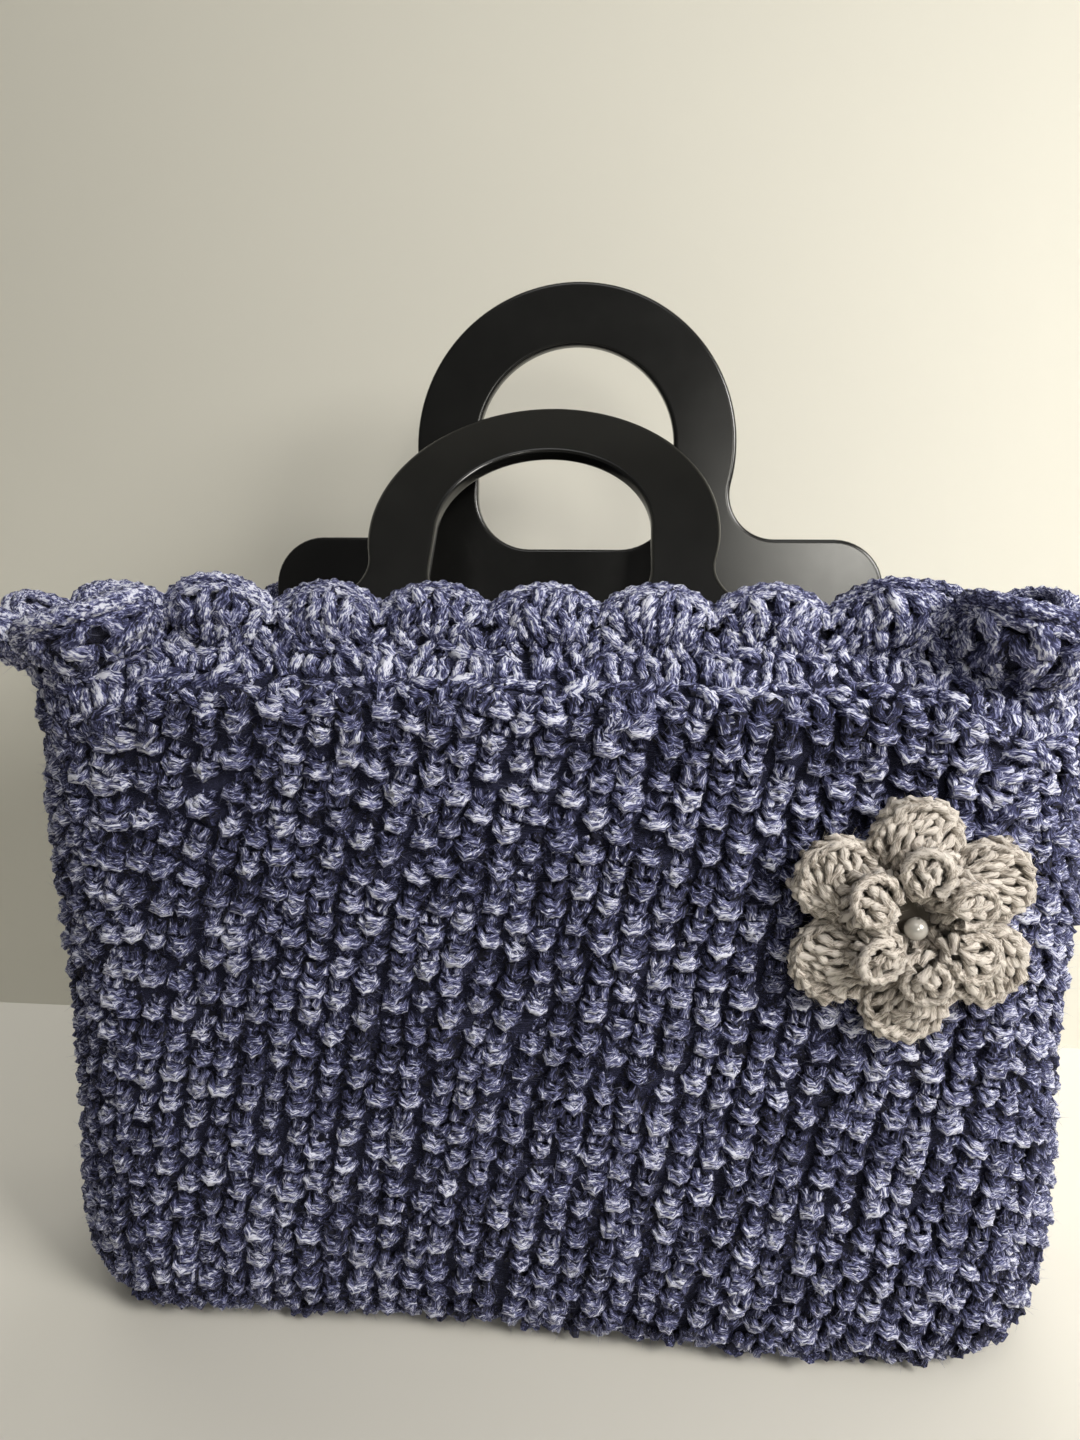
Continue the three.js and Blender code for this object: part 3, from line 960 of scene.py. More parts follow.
def borderRings():
    rim, beneath = wall["collar"][-1], wall["collar"][-2]
    count = wall["columns"]
    outside, inside = collarRing(rim, 0, count), collarRing(rim, wall["thickness"], count)
    rise = unit(outside - collarRing(beneath, 0, count)) * wall["gap"]
    ahead = np.roll(outside, -1, axis=0) - np.roll(outside, 1, axis=0)
    away = unit(np.stack([ahead[:, 1], -ahead[:, 0], 0 * ahead[:, 0]], axis=1))
    return (outside + inside) / 2 + rise, away


borderFoot, borderAway = borderRings()


def alongBorder(share, column):
    table = np.array(border["lean"])
    leg = np.clip(np.searchsorted(table[:, 0], share, side="right") - 1, 0, len(table) - 2)
    part = smoothStep(share, table[leg, 0], table[leg + 1, 0])
    return table[leg, column] * (1 - part) + table[leg + 1, column] * part


def aroundRing(ring, share):
    ticks = np.arange(wall["columns"] + 1) / wall["columns"]
    closed = np.concatenate([ring, ring[:1]])
    return np.stack([np.interp(share, ticks, closed[:, axis]) for axis in range(3)], axis=-1)


def shellHeight(share):
    # height of the border as a share of its crests' on the straight sides
    tall = alongBorder(share, 3)
    low = border["notch"] / border["crest"] * (1 - border["cut"] * (tall - 1))
    arch = np.sin(math.pi * ((share * border["shells"] + 0.5) % 1))
    return (low + (1 - low) * np.sqrt(arch)) * tall


def borderPlace(share, row, ahead=0.0):
    # middle of the border at a share of the way round and of its height, moved outwards by ahead
    share = np.asarray(share, float) % 1
    row = np.broadcast_to(np.asarray(row, float), share.shape)
    arch = np.sin(math.pi * ((share * border["shells"] + 0.5) % 1))
    height = border["crest"] * shellHeight(share)
    bend = np.radians(alongBorder(share, 1)) * np.sqrt(np.clip(row, 0, 1))
    push = (border["dome"] + alongBorder(share, 2)) * arch * row
    away = aroundRing(borderAway, share)
    up = row * height
    place = aroundRing(borderFoot, share)
    place = place + away * (up * np.sin(bend) + push + ahead * np.cos(bend))[..., None]
    place[..., 2] += up * np.cos(bend) - ahead * np.sin(bend)
    return place


def shellSwell(share, row):
    share = np.asarray(share) % 1
    side = 2 * ((share * border["shells"] + 0.5) % 1) - 1
    bow = border["bow"] * (2 * alongBorder(share, 3) - 1)
    return bow * np.sin(math.pi * np.clip(row, 0, 1)) * (1 - side ** 2)


def shellWidth(share, row):
    # how much wider the border is here than at the rim
    half = 0.02 / border["shells"]
    gap = borderPlace(share + half, row) - borderPlace(share - half, row)
    return np.linalg.norm(gap, axis=-1) / (2 * half * wall["around"])


def borderSpot(share, row, ahead, inwards, fit):
    place = borderPlace(share, row, ahead)
    across = borderPlace(share + 0.001, row, ahead) - borderPlace(share - 0.001, row, ahead)
    upward = borderPlace(share, row + 0.02, ahead) - borderPlace(share, row - 0.02, ahead)
    outward = np.cross(across, upward)
    return place, -outward if inwards else outward, upward, fit


def shellSpots(rng):
    wide = border["stitchWidth"]
    pitch = wall["around"] / border["shells"] / len(border["posts"])
    for shell in range(border["shells"]):
        for foot, top in border["posts"]:
            for row in border["rows"]:
                row = row + rng.normal(0, border["rowDrift"])
                share = shell + foot + (top - foot) * row + rng.normal(0, border["postDrift"])
                share /= border["shells"]
                size = pitch / wide * np.clip(shellWidth(share, row), *border["stitchWidths"])
                swell = shellSwell(share, row)
                fit = (size, shellHeight(share % 1), min(size, border["stitchDepth"]))
                yield borderSpot(share, row, swell - border["outside"], False, fit)
                yield borderSpot(share, row, swell - border["inside"], True, fit)
    for row, count, ahead in border["footRows"]:
        for column in range(count):
            share = (column + 0.5 + rng.normal(0, border["footDrift"])) / count
            fit = (wall["around"] / count / wide, border["footHeight"], 1)
            for inwards, away in ((False, ahead), (True, -ahead)):
                yield borderSpot(share, row + rng.normal(0, border["rowDrift"]), away, inwards, fit)


def shellEdges(shell, rng):
    edge = (shell + np.linspace(-0.5, 0.5, 25)) / border["shells"]
    for row, ahead, radius in border["edges"]:
        wave = np.sin(edge * border["shells"] * rng.uniform(9, 14) + rng.uniform(0, 6))
        wave = border["edgeWave"] * wave
        yield borderPlace(edge, row, ahead + wave), radius * np.clip(shellWidth(edge, row), 1, 1.4)


def makeBorder():
    rng = np.random.default_rng(15)
    radii = np.interp(np.linspace(0, 3, 7), range(4), border["stitchRadius"])
    kinds = []
    for side in border["stitchSides"]:
        path = strayed(rng, border["stitch"], border["stray"]) * (side, 1, 1)
        kinds.append([(smoothPath(path, 2), radii)])
    group = stitchPattern("shellStitch", kinds, bagYarn, border["tone"])
    yarn = sewn("border_shells", group, list(shellSpots(rng)), bagYarn, 43, border["loose"])
    finishPiece(yarn, "bag_yarn", "scallop_border")
    edges = [strand for shell in range(border["shells"]) for strand in shellEdges(shell, rng)]
    yarn = yarnObject("border_edges", edges, bagYarn, border["edgeGroove"], border["edgeTurns"])
    finishPiece(yarn, "bag_yarn")
    share = np.arange(wall["columns"]) / wall["columns"]

    def layer(row, half):
        return borderPlace(share, row, shellSwell(share, row) - border["groundDepth"] + half)

    rings = [layer(row, border["groundHalf"]) for row in border["groundRows"]]
    rings += [layer(row, -border["groundHalf"]) for row in reversed(border["groundRows"])]
    # the layer inside the shells is darkened as painted shade for the gaps between them
    finishPiece(ringShell("border_ground", rings, deepYarn, closed=True), "bag_yarn")


makeBorder()
print("border made")


# Handles: flat plates with rounded edges, an arch with a finger hole and two wings

def arc(x, y, radius, start, end, steps):
    turn = np.linspace(start, end, steps)
    return np.stack([x + radius * np.cos(turn), y + radius * np.sin(turn)], axis=1)


def plateOutline():
    quarter = math.pi / 2
    wingEnd, wingFoot = plate["wingHalfWidth"] - plate["wingRound"], plate["wingRound"] - plate["wingDepth"]
    fillet, centre = plate["wingFillet"], plate["archCentre"]
    reach = plate["archRadius"] + fillet
    filletX = math.sqrt(reach ** 2 - (centre - fillet) ** 2)
    joint = math.asin((centre - fillet) / reach)
    legs = [
        arc(wingEnd, wingFoot, plate["wingRound"], -quarter, 0, 12),
        arc(wingEnd, -plate["wingRound"], plate["wingRound"], 0, quarter, 12),
        arc(filletX, fillet, fillet, -quarter, -math.pi - joint, 18),
        arc(0, centre, plate["archRadius"], -joint, math.pi + joint, 96)[1:-1],
        arc(-filletX, fillet, fillet, joint, -quarter, 18),
        arc(-wingEnd, -plate["wingRound"], plate["wingRound"], quarter, math.pi, 12),
        arc(-wingEnd, wingFoot, plate["wingRound"], math.pi, 3 * quarter, 12),
    ]
    return np.concatenate(legs)


def plateHole():
    quarter, corner = math.pi / 2, plate["holeCorner"]
    cornerX, cornerY = plate["holeRadius"] - corner, plate["holeBottom"] + corner
    legs = [
        arc(cornerX, cornerY, corner, -quarter, 0, 14),
        arc(0, plate["archCentre"], plate["holeRadius"], 0, math.pi, 64)[1:-1],
        arc(-cornerX, cornerY, corner, math.pi, 3 * quarter, 14),
    ]
    return np.concatenate(legs)


def inwardNormals(loop):
    ahead = np.roll(loop, -1, axis=0) - np.roll(loop, 1, axis=0)
    return unit(np.stack([-ahead[:, 1], ahead[:, 0]], axis=1))


def makePlate(name, where, node):
    # bevel profile from the front face over the edge to the back face
    edge, thick = plate["edgeRound"], plate["thickness"]
    turn = np.linspace(0, math.pi / 2, 5)
    flat = edge + plate["flatRim"]
    profile = [(flat, 0.0)]
    profile += [(edge * (1 - math.sin(t)), -edge * (1 - math.cos(t))) for t in turn]
    profile += [(edge * (1 - math.cos(t)), edge * (1 - math.sin(t)) - thick) for t in turn]
    profile.append((flat, -thick))
    points, faces, rims = [], [], []
    for loop, sign in ((plateOutline(), 1), (plateHole(), -1)):
        count, first = len(loop), len(points)
        inward = inwardNormals(loop) * sign
        for inset, z in profile:
            points.extend((x, y, z) for x, y in loop + inward * inset)
        for row in range(len(profile) - 1):
            for c in range(count):
                a, b = first + row * count + c, first + row * count + (c + 1) % count
                quad = (a, a + count, b + count, b)
                faces.append(quad if sign > 0 else quad[::-1])
        rims.append((first, first + (len(profile) - 1) * count, count))
    loops = [[Vector((*points[first + c][:2], 0)) for c in range(count)] for first, _, count in rims]
    owners = [(first + c, last + c) for first, last, count in rims for c in range(count)]
    for a, b, c in tessellate_polygon(loops):
        (p, q), (r, s), (t, u) = owners[a], owners[b], owners[c]
        ax, ay = np.subtract(points[r][:2], points[p][:2])
        bx, by = np.subtract(points[t][:2], points[p][:2])
        faces.extend([(p, r, t), (q, u, s)] if ax * by > ay * bx else [(p, t, r), (q, s, u)])
    lean = math.radians(where["lean"])
    points = np.array(points)
    placed = np.stack([
        points[:, 0] + where["x"],
        points[:, 1] * math.sin(lean) - points[:, 2] * math.cos(lean) + where["y"],
        points[:, 1] * math.cos(lean) + points[:, 2] * math.sin(lean) + where["z"],
    ], axis=1)
    mesh = makeMesh(name, placed, faces, material=satinBlack)
    finishPiece(addObject(name, mesh), "handle_black", node)


def satinMaterial():
    material, tree, shader = newMaterial("satinBlack")
    place = onObject(tree)
    film = noise(tree, place, 34.0, 4.0, 0.6)
    grain = noise(tree, place, 2600.0, 2.0)
    rough = put(tree, "ShaderNodeMapRange", {"Value": film, "From Min": 0.3, "From Max": 0.7,
                                             "To Min": 0.20, "To Max": 0.25})
    tree.links.new(out(rough), shader.inputs["Roughness"])
    tint = blend(tree, film, (0.0035, 0.0035, 0.0033, 1), (0.007, 0.007, 0.0065, 1))
    tree.links.new(tint, shader.inputs["Base Color"])
    bump = put(tree, "ShaderNodeBump", {"Strength": 0.06, "Distance": 0.05 * mm, "Height": grain})
    tree.links.new(out(bump), shader.inputs["Normal"])
    return material


satinBlack = satinMaterial()
makePlate("handle_front_plate", plate["front"], "handle_front")
makePlate("handle_back_plate", plate["back"], "handle_back")
print("handles made")


# Flower: six large petals, a small curled petal over each, and a pearl in the middle

flower = {
    "x": 104.3,
    "z": 157,
    "seat": 0.5,
    "wallFront": -57.54,  # the front and the bulge of the wall at the flower's height
    "wallBulge": 3.54,
    "petals": 6,
    "firstPetal": 30,
    "petalMiddle": 24.5,  # from the flower's middle to the middle of a large petal
    "petalHalf": (10.2, 11.2),  # half length and half width
    "petalFoot": 4.0,
    "petalTip": (0.72, 0.9),  # how round the tip of the stitched face is, and its distance from the edge
    "petalSides": (2.6, 9.6),  # half width of the stitched face at the foot and at the tip
    "petalLevels": (3.0, 3.3, 1.5),  # height at the foot, and how far the face swells and rises from it
    "petalColumns": 4,
    "petalRows": 6,
    "petalStitch": (3.4, 6.0),
    "rimTurn": 0.76,  # half turn round a petal that its edge takes
    "rimLevel": 4.1,
    "rimInset": 0.4,
    "swirl": (0.55, 0.25),  # how far the stitches of a petal lean over, in radians, and their spread
    "edgeStitch": (4.0, 5.0),
    "edgeRadius": 1.5,  # of the strand under the edge chain
    "buds": [  # angle, distance, lean outwards and sideways in degrees, size
        (30, 15.2, 14, 10, 1.16), (84, 16.6, 8, -12, 1.2), (146, 15.0, 4, 14, 1.28),
        (218, 12.4, 4, -12, 1.16), (284, 14.2, 10, 12, 1.16), (334, 15.8, 18, -8, 1.26),
    ],
    "budRadius": 6.5,
    "budLevels": (4.0, 14.6),
    "budSides": [(86, 8, 0.0), (60, 7, 0.4)],  # degrees from the top, stitches, turn
    "budInside": [(-2.6, 0.8), (-0.2, -0.6), (2.2, 0.5)],
    "budRim": (4.9, 150),  # radius, and degrees to both sides
    "rimBelow": 2.5,  # from the top of a small petal to its rim and to the floor inside
    "floorBelow": 1.7,
    "ropeRadius": 2.0,
    "ropeGroove": 0.3,
    "ropeTurns": 110,
    "leg": [(-1.9, 2.3, -0.9), (-1.35, 0.4, 0.7), (-0.25, -2.2, -0.5)],
    "legRadius": [1.05, 1.35, 1.05],
    "stitch": (4.3, 4.0),  # width and height that the pattern is drawn for
    "stitchDepth": 1.2,
    "stitchSunk": 0.35,
    "kinds": 6,
    "stray": 0.22,
    # heights in a stitch between which the painted shade of its hollows turns into a painted highlight on its
    # top
    "tone": (-1.5, 1.8),
    "loose": (0.2, 0.1),
    "cushionBack": 3.5,  # from the middle of a large petal back to that of its cushion
    "pearlRadius": 3.2,
    "pearlSeat": 5.8,
    "pearlHole": 0.55,
    "pearlRows": 22,
    "pearlSides": 36,
}


def flowerPlace(points):
    # from the flower's own plane, with its height above the wall, to its place on the front
    bulge, front = flower["wallBulge"], flower["wallFront"]
    across = flower["x"] / wall["bulgeHalfWidth"]
    lean = math.atan(2 * bulge * across / wall["bulgeHalfWidth"])
    points = np.asarray(points, float)
    x, y = points[..., 0], -points[..., 2]
    turned = np.stack([x * math.cos(lean) - y * math.sin(lean), x * math.sin(lean) + y * math.cos(lean),
                       points[..., 1]], axis=-1)
    return turned + (flower["x"], front - bulge * (1 - across ** 2) - flower["seat"], flower["z"])


def petalPoint(angle, length, width, height):
    # along the petal's own axis and across it
    c, s = math.cos(angle), math.sin(angle)
    length, width = np.asarray(length, float), np.asarray(width, float)
    return np.stack([length * c - width * s, length * s + width * c, height + 0 * length], axis=-1)


def petalSkin(angle, far, side):
    # upper face of a large petal, from its foot to its tip and from side to side
    rounding, inset = flower["petalTip"]
    tip = flower["petalMiddle"] + flower["petalHalf"][0] * np.sqrt(1 - rounding * side ** 2) - inset
    length = flower["petalFoot"] + (tip - flower["petalFoot"]) * far
    narrow, broad = flower["petalSides"]
    width = side * (narrow + (broad - narrow) * np.sin(0.5 * math.pi * far ** 0.9))
    base, swell, rise = flower["petalLevels"]
    height = base + swell * np.sin(math.pi * far ** 1.3) * (1 - 0.35 * side ** 2) + rise * far
    return petalPoint(angle, length, width, height)


def budPlace(bud, x, y, z):
    # from a small petal's own axes, with x away from the flower's middle, to the flower's
    angle, middle, outLean, sideLean, size = bud
    low, high = flower["budLevels"]
    lean = Matrix.Rotation(math.radians(outLean), 3, "Y") @ Matrix.Rotation(math.radians(sideLean), 3, "X")
    x, y, z = (lean @ Vector((x, y, z - 0.5 * (low + high)))) * size
    return petalPoint(math.radians(angle), middle + x, y, 0.5 * (low + high) + z)


def budSkin(bud, fall, turn):
    # outside of a small petal, at an angle from its top and around it
    low, high = flower["budLevels"]
    reach = flower["budRadius"] * math.sin(fall) ** 0.8
    return budPlace(bud, reach * math.cos(turn), reach * math.sin(turn), low + (high - low) * math.cos(fall))


def budFloor(bud, x, y):
    # inside of the rim of a small petal
    return budPlace(bud, x, y, flower["budLevels"][1] - flower["floorBelow"] - 0.05 * (x * x + y * y))


def flowerSpot(place, outward, upward, wide, tall):
    turn = flowerPlace(np.stack([outward, upward])) - flowerPlace(np.zeros(3))
    width, height = flower["stitch"]
    return flowerPlace(place), turn[0], turn[1], (wide / width, tall / height, flower["stitchDepth"])


def skinSpot(skin, u, v, step, wide, tall, turned=False, swirl=0.0):
    # a stitch on a skin, pointing along u or along v, that covers wide by tall millimetres
    alongU = skin(u + step, v) - skin(u - step, v)
    alongV = skin(u, v + step) - skin(u, v - step)
    outward = unit(np.cross(alongU, alongV))
    outward = outward if outward[2] > 0 else -outward
    first, second = (alongV, alongU) if turned else (alongU, alongV)
    upward = unit(first) * math.cos(swirl) + unit(second) * math.sin(swirl)
    return flowerSpot(skin(u, v) - flower["stitchSunk"] * outward, outward, upward, wide, tall)


def edgeSpots(path, middle):
    # a chain of stitches along an edge, facing up and away from the middle
    wide, tall = flower["edgeStitch"]
    way = np.concatenate([[0], np.cumsum(np.linalg.norm(np.diff(path, axis=0), axis=1))])

    def pathAt(length):
        return np.array([np.interp(length, way, path[:, axis]) for axis in range(3)])

    for at in np.arange(tall / 2, way[-1], 0.8 * tall):
        place = pathAt(at)
        outward = unit((place - middle) * (1, 1, 0)) + (0, 0, 0.9)
        yield flowerSpot(place, outward, pathAt(at + 1) - pathAt(at - 1), wide, tall)


def petalSpots(angle, rng):
    columns, rows = flower["petalColumns"], flower["petalRows"]
    narrowest, tall = flower["petalStitch"]
    lean = flower["swirl"][0] * rng.choice([-1, 1])

    def skin(far, side):
        return petalSkin(angle, np.clip(far, 0, 1), np.clip(side, -1, 1))

    for column in range(columns):
        side = 1.8 * (column + 0.5) / columns - 0.9
        for row in range(rows):
            far = (row + 0.5 * (column % 2) + 0.25 + rng.uniform(-0.15, 0.15)) / rows
            wide = np.linalg.norm(skin(far, side + 0.9 / columns) - skin(far, side - 0.9 / columns))
            swirl = rng.normal(lean * min(1, 2 * far), flower["swirl"][1])
            yield skinSpot(skin, far, side, 0.02, max(wide, narrowest) * 1.1, tall, swirl=swirl)
    yield from edgeSpots(petalRim(angle, rng), petalPoint(angle, flower["petalMiddle"], 0, 0))


def petalRim(angle, rng):
    halfLength, halfWidth = flower["petalHalf"]
    turn = np.linspace(-1, 1, 70) * flower["rimTurn"] * math.pi
    wave = 0.35 * np.sin(turn * rng.uniform(5, 8) + rng.uniform(0, 6))
    length = flower["petalMiddle"] + (halfLength - flower["rimInset"] + wave) * np.cos(turn)
    width = (halfWidth - flower["rimInset"] + wave) * np.sin(turn)
    return petalPoint(angle, length, width, flower["rimLevel"] + 0.9 * np.cos(turn) + wave)


def budSpots(bud, rng):
    lean = rng.choice([-0.6, 0.6])

    def skin(turn, fall):
        return budSkin(bud, fall, turn)

    def inside(x, y):
        return budFloor(bud, x, y)

    for fall, count, start in flower["budSides"]:
        fall = math.radians(fall)
        wide = 1.1 * math.tau * flower["budRadius"] * math.sin(fall) ** 0.8 / count
        for k in range(count):
            turn = math.tau * (k + start + rng.uniform(-0.12, 0.12)) / count
            yield skinSpot(skin, turn, fall, 0.05, wide, 5.6, turned=True, swirl=rng.normal(lean, 0.2))
    for x, y in flower["budInside"]:
        x, y = rng.normal((x, y), 0.3)
        yield skinSpot(inside, x, y, 0.1, 6.0, 5.0, swirl=rng.normal(0, 0.3))


def budRim(bud):
    radius, reach = flower["budRim"]
    turn = np.radians(np.linspace(-reach, reach, 56))
    level = flower["budLevels"][1] - flower["rimBelow"] + 0.8 * np.cos(turn)
    spots = zip(radius * np.cos(turn), radius * np.sin(turn), level)
    return np.array([budPlace(bud, x, y, z) for x, y, z in spots])


def makeCushions(name, middles, half, levels, material=petalGround):
    # closed cushions of the same yarn under the strands, one for each petal
    points, faces = [], []
    rows, count = 5, 20
    spin = np.arange(count) * math.tau / count
    for angle, middle in middles:
        first = len(points)
        for row in range(rows):
            turn = math.pi * (row + 0.5) / rows
            level = levels[0] + (levels[1] - levels[0]) * 0.5 * (1 - math.cos(turn))
            points.extend(petalPoint(math.radians(angle), middle + half[0] * math.sin(turn) * np.cos(spin),
                                     half[1] * math.sin(turn) * np.sin(spin), level))
        faces.extend(quadsBetween(rows, count, first))
        faces.append(tuple(first + c for c in reversed(range(count))))
        faces.append(tuple(first + (rows - 1) * count + c for c in range(count)))
    mesh = makeMesh(name, flowerPlace(points), faces, material=material)
    finishPiece(addObject(name, mesh), "petal_yarn")


def makeFlower():
    rng = np.random.default_rng(17)
    legs = (flower["leg"], np.array(flower["leg"]) * (-1, 1, 1))
    kinds = []
    for _ in range(flower["kinds"]):
        kinds.append([(strayed(rng, path, flower["stray"]), flower["legRadius"]) for path in legs])
    group = stitchPattern("petalStitch", kinds, petalYarn, flower["tone"])
    angles = [flower["firstPetal"] + 360 / flower["petals"] * k for k in range(flower["petals"])]
    large = [spot for angle in angles for spot in petalSpots(math.radians(angle), rng)]
    curled = [spot for bud in flower["buds"] for spot in budSpots(bud, rng)]
    for name, spots, node in (("petals_large", large, "flower_outer_petals"),
                              ("petals_curled", curled, "flower_inner_petals")):
        yarn = sewn(name, group, spots, petalYarn, len(spots), flower["loose"])
        finishPiece(yarn, "petal_yarn", node)
    ropes = [(flowerPlace(budRim(bud)), flower["ropeRadius"]) for bud in flower["buds"]]
    ropes += [(flowerPlace(petalRim(math.radians(angle), rng)), flower["edgeRadius"]) for angle in angles]
    yarn = yarnObject("petal_curls", ropes, petalYarn, flower["ropeGroove"], flower["ropeTurns"])
    finishPiece(yarn, "petal_yarn")
    middles = [(angle, flower["petalMiddle"] - flower["cushionBack"]) for angle in angles]
    makeCushions("petal_ground", middles, (12.5, 10.5), (1.0, 5.4))
    # the middle cushion is darkened as painted shade for its recess under the small petals
    makeCushions("petal_middle", [(0, 0)], (9, 9), (1.0, 6.2), petalDeep)
    makeCushions("bud_ground", [bud[:2] for bud in flower["buds"]], (5.2, 5.2), (4.0, 11.2))


def pearlMaterial():
    material, tree, shader = newMaterial("pearlLustre")
    cloud = noise(tree, onObject(tree), 420.0, 3.0)
    # a grey pearl tint, made darker than the bead's own colour as painted shade for its place deep among the
    # small petals
    tint = blend(tree, cloud, (0.38, 0.36, 0.325, 1), (0.50, 0.48, 0.45, 1))
    tree.links.new(tint, shader.inputs["Base Color"])
    setSockets(shader, {"Metallic": 0.25, "Roughness": 0.24, "Coat Weight": 0.8, "Coat Roughness": 0.06})
    return material


def makePearl():
    # bead drilled along the flower's own upright, turned from the edge of one end of the hole to the other
    radius, hole, count = flower["pearlRadius"], flower["pearlHole"], flower["pearlSides"]
    turn = np.linspace(math.asin(hole / radius), math.pi - math.asin(hole / radius), flower["pearlRows"])
    ring = [(radius * math.sin(t), radius * math.cos(t)) for t in turn]
    ring += [(hole, -radius * 0.6), (hole, radius * 0.6)]
    spin = np.arange(count) * math.tau / count
    high = flower["pearlSeat"] + wall["gap"] + radius
    rings = [flowerPlace(np.stack([r * np.cos(spin), np.full(count, y), high + r * np.sin(spin)], axis=1))
             for r, y in ring]
    finishPiece(ringShell("pearl_bead", rings, pearlMaterial(), closed=True), "pearl", "flower_pearl")


makeFlower()
makePearl()
print("flower made")


# Fuzz: loose fibres that stand off the outer yarn

fuzz = {
    "length": 2.9,
    "radius": 0.05,
    "bend": (1.2, 0.2),  # how far the tip stands off the root's axis
    "lay": 1.25,  # how far a fibre may lie over, in radians
    "sizes": (0.5, 1.4),
    "combed": (0.3, 0.9),  # heights in a stitch between which the fibres get dense
    "pieces": [  # piece to comb, fibres on a square metre of it, slot
        ("moss_stitches_front", 160000, "bag_yarn"),
        ("moss_stitches_back", 80000, "bag_yarn"),
        ("moss_stitches_ends", 80000, "bag_yarn"),
        ("rim_band_1", 90000, "bag_yarn"),
        ("border_shells", 90000, "bag_yarn"),
        ("petals_large", 300000, "petal_yarn"),
        ("petals_curled", 300000, "petal_yarn"),
    ],
    "colors": {"bag_yarn": (0.26, 0.27, 0.40), "petal_yarn": (0.42, 0.38, 0.33)},
}


def fuzzTree():
    inputs = [("Fibre", "Object", None), ("Density", "Float", 1000.0), ("Lay", "Float", 1.0),
              ("Seed", "Int", 1)]
    tree, given, result = shapeTree("combFuzz", inputs)

    def draw(kind, low, high):
        feeds = {"Min": low, "Max": high, "Seed": given["Seed"]}
        return out(put(tree, "FunctionNodeRandomValue", feeds, data_type=kind))

    low, high = fuzz["combed"]
    outside = put(tree, "ShaderNodeMapRange",
                  {"Value": namedValue(tree, "rise"), "From Min": low, "From Max": high})
    density = math2(tree, "MULTIPLY", out(outside), given["Density"])
    spots = put(tree, "GeometryNodeDistributePointsOnFaces",
                {"Mesh": given["Geometry"], "Density": density, "Seed": given["Seed"]})
    over = scaled(tree, draw("FLOAT_VECTOR", (-1, -1, -3), (1, 1, 3)), given["Lay"])
    over = out(put(tree, "FunctionNodeEulerToRotation", {"Euler": over}))
    turned = put(tree, "FunctionNodeRotateRotation",
                 {"Rotation": out(spots, "Rotation"), "Rotate By": over}, rotation_space="LOCAL")
    shape = put(tree, "GeometryNodeObjectInfo", {"Object": given["Fibre"], "As Instance": True})
    placed = put(tree, "GeometryNodeInstanceOnPoints",
                 {"Points": out(spots, "Points"), "Instance": out(shape, "Geometry"), "Rotation": out(turned),
                  "Scale": draw("FLOAT", *fuzz["sizes"])})
    return finishTree(tree, out(placed), given, result)


def makeFibre():
    # three sides, closed at the root and drawn to a tip
    spin = np.arange(3) * math.tau / 3
    root = np.stack([np.cos(spin), np.sin(spin), 0 * spin - 4], axis=1) * fuzz["radius"]
    points = np.concatenate([root, [(*fuzz["bend"], fuzz["length"])]])
    faces = [(2, 1, 0)] + [(k, (k + 1) % 3, 3) for k in range(3)]
    fibre = addObject("fibre", makeMesh("fibre", points, faces))
    bpy.context.scene.collection.objects.unlink(fibre)
    return fibre


def fuzzMaterial(slot):
    material, _, shader = newMaterial(f"{slot}Fuzz")
    color = (*fuzz["colors"][slot], 1)
    setSockets(shader, {"Base Color": color, "Roughness": 0.9, "Specular IOR Level": 0.2})
    return material


def makeFuzz():
    tree, fibre = fuzzTree(), makeFibre()
    materials = {slot: fuzzMaterial(slot) for slot in fuzz["colors"]}
    for seed, (source, density, slot) in enumerate(fuzz["pieces"]):
        piece = addObject(f"fuzz_{source}", bpy.data.objects[source].data.copy())
        addModifier(piece, tree, {"Fibre": fibre, "Density": float(density), "Lay": fuzz["lay"],
                                  "Seed": 50 + seed, "Material": materials[slot]})
        finishPiece(restOnFloor(settle(piece)), slot)
    bpy.data.objects.remove(fibre)


makeFuzz()
print("fuzz combed")


# Stage and light

stage = {
    "floorHalf": 4.0,
    "wallY": 0.160,
    "wallHeight": 2.5,
    "wallColor": (0.695, 0.677, 0.598),
    "floorColor": (0.67, 0.650, 0.590),
    "airColor": (0.93, 0.91, 0.87, 1),
    "airStrength": 0.115,
}
lights = [  # name, place, aim, size, spread in degrees, watts, colour
    ("key", (0.74, -0.54, 0.68), (0.28, 0, 0.18), 0.42, 90, 3.55, (1.0, 0.972, 0.92)),
    ("window", (0.34, -1.15, 0.57), (0, 0, 0.25), 0.2, 180, 2.5, (1.0, 0.975, 0.89)),
    ("fill", (0.03, -0.42, 1.2), (-0.02, 0.16, 0.6), 0.6, 120, 1.15, (0.99, 0.985, 0.96)),
    ("left", (-0.8, 0.75, 0.7), (0, 0, 0.12), 0.8, 180, 2.6, (1.0, 0.99, 0.97)),
    ("right", (1.1, 0.4, 0.7), (0, 0, 0.12), 0.8, 180, 2.4, (1.0, 0.99, 0.97)),
    ("behind", (0.3, 1.3, 0.8), (0, 0, 0.15), 1.0, 180, 8, (1.0, 0.98, 0.95)),
]


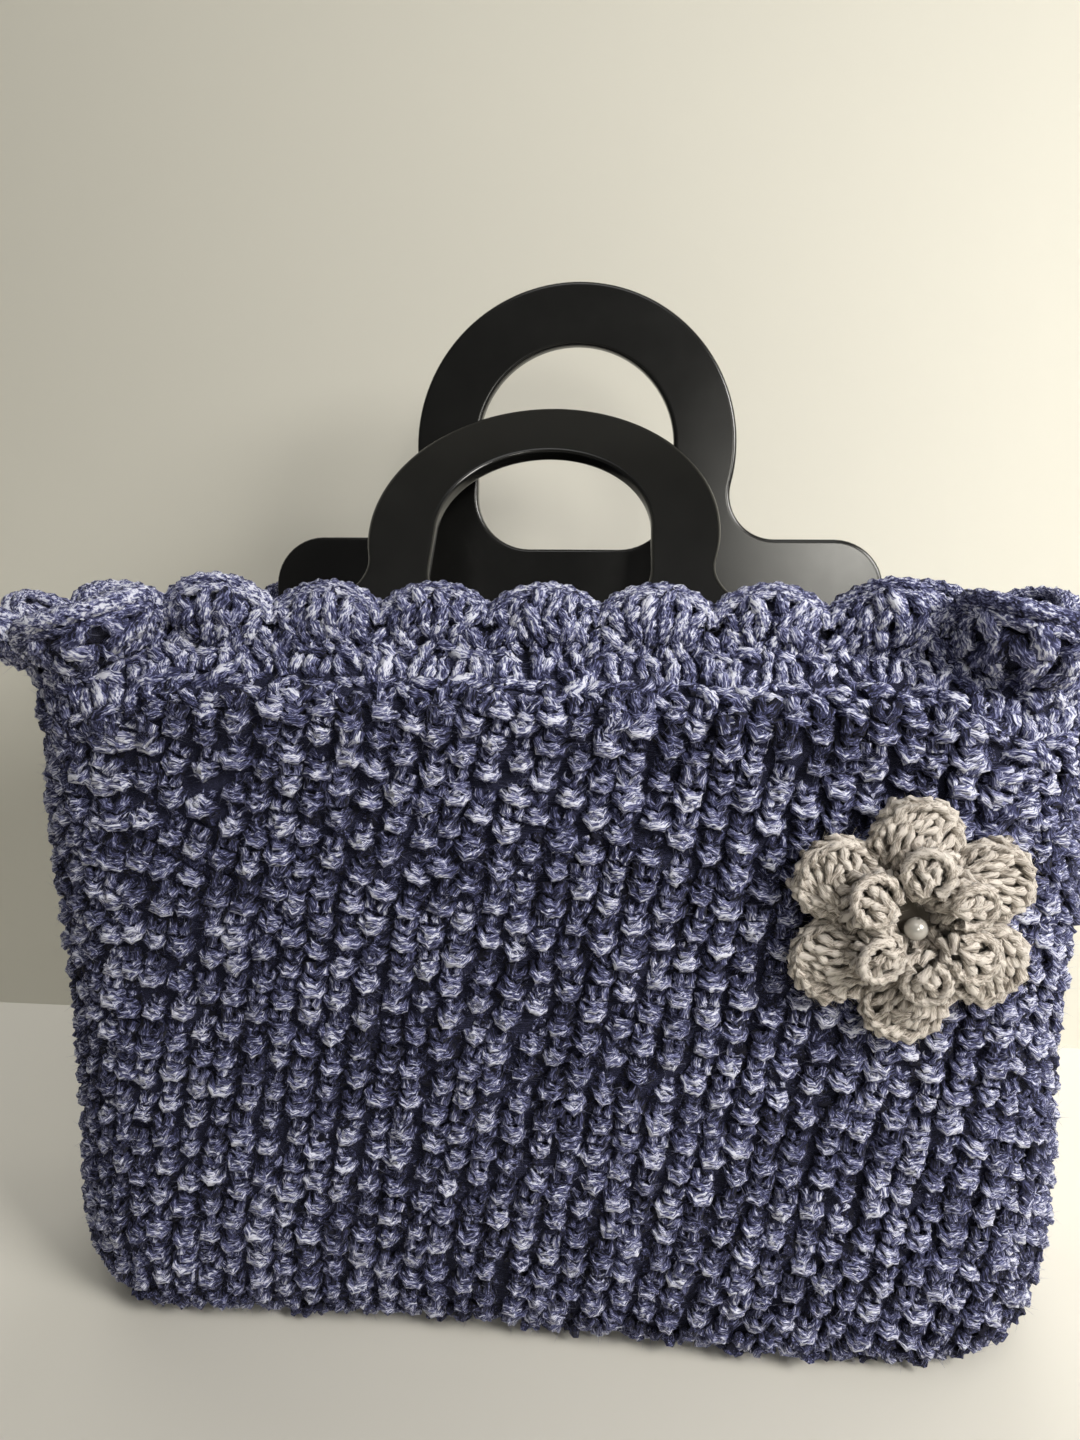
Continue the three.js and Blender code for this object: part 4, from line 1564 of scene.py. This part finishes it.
def stageMaterial(name, color, hideBack):
    material, tree, shader = newMaterial(name)
    cloud = noise(tree, onObject(tree), 3.0, 3.0)
    low = tuple(0.96 * c for c in color)
    tree.links.new(blend(tree, cloud, (*low, 1), (*color, 1)), shader.inputs["Base Color"])
    shader.inputs["Roughness"].default_value = 0.7
    if hideBack:
        facing = out(put(tree, "ShaderNodeNewGeometry"), "Backfacing")
        clear = put(tree, "ShaderNodeBsdfTransparent")
        both = put(tree, "ShaderNodeMixShader", {0: facing, 1: out(shader), 2: out(clear)})
        tree.links.new(out(both), tree.nodes["Material Output"].inputs["Surface"])
    return material


def makeSheet(name, a, b, c, d, material):
    return addObject(name, makeMesh(name, [a, b, c, d], [(0, 1, 2, 3)], material=material))


def makeLight(name, place, aim, size, spread, watts, color):
    data = bpy.data.lights.new(name, "AREA")
    data.size, data.spread, data.energy, data.color = size, math.radians(spread), watts, color
    lamp = addObject(name, data)
    lamp.location = place
    lamp.rotation_mode = "QUATERNION"
    lamp.rotation_quaternion = (Vector(aim) - Vector(place)).to_track_quat("-Z", "Y")


def makeStage():
    half, y, top = stage["floorHalf"] / mm, stage["wallY"] / mm, stage["wallHeight"] / mm
    floor = makeSheet("floor", (-half, -half, 0), (half, -half, 0), (half, half, 0), (-half, half, 0),
                      stageMaterial("paleFloor", stage["floorColor"], False))
    # the backdrop is seen only from the front and lets the light behind it through
    backdrop = makeSheet("backdrop", (-half, y, 0), (half, y, 0), (half, y, top), (-half, y, top),
                         stageMaterial("paleWall", stage["wallColor"], True))
    backdrop.visible_shadow = False
    for light in lights:
        makeLight(*light)
    world = bpy.data.worlds.new("studio")
    world.use_nodes = True
    air = world.node_tree.nodes["Background"]
    setSockets(air, {"Color": stage["airColor"], "Strength": stage["airStrength"]})
    bpy.context.scene.world = world
    bpy.context.scene.view_settings.view_transform = "Standard"


makeStage()
print("stage and lights set")


def clearPatterns():
    for group in list(patterns.children):
        for stitch in list(group.objects):
            bpy.data.objects.remove(stitch)
        bpy.data.collections.remove(group)
    bpy.data.collections.remove(patterns)


clearPatterns()
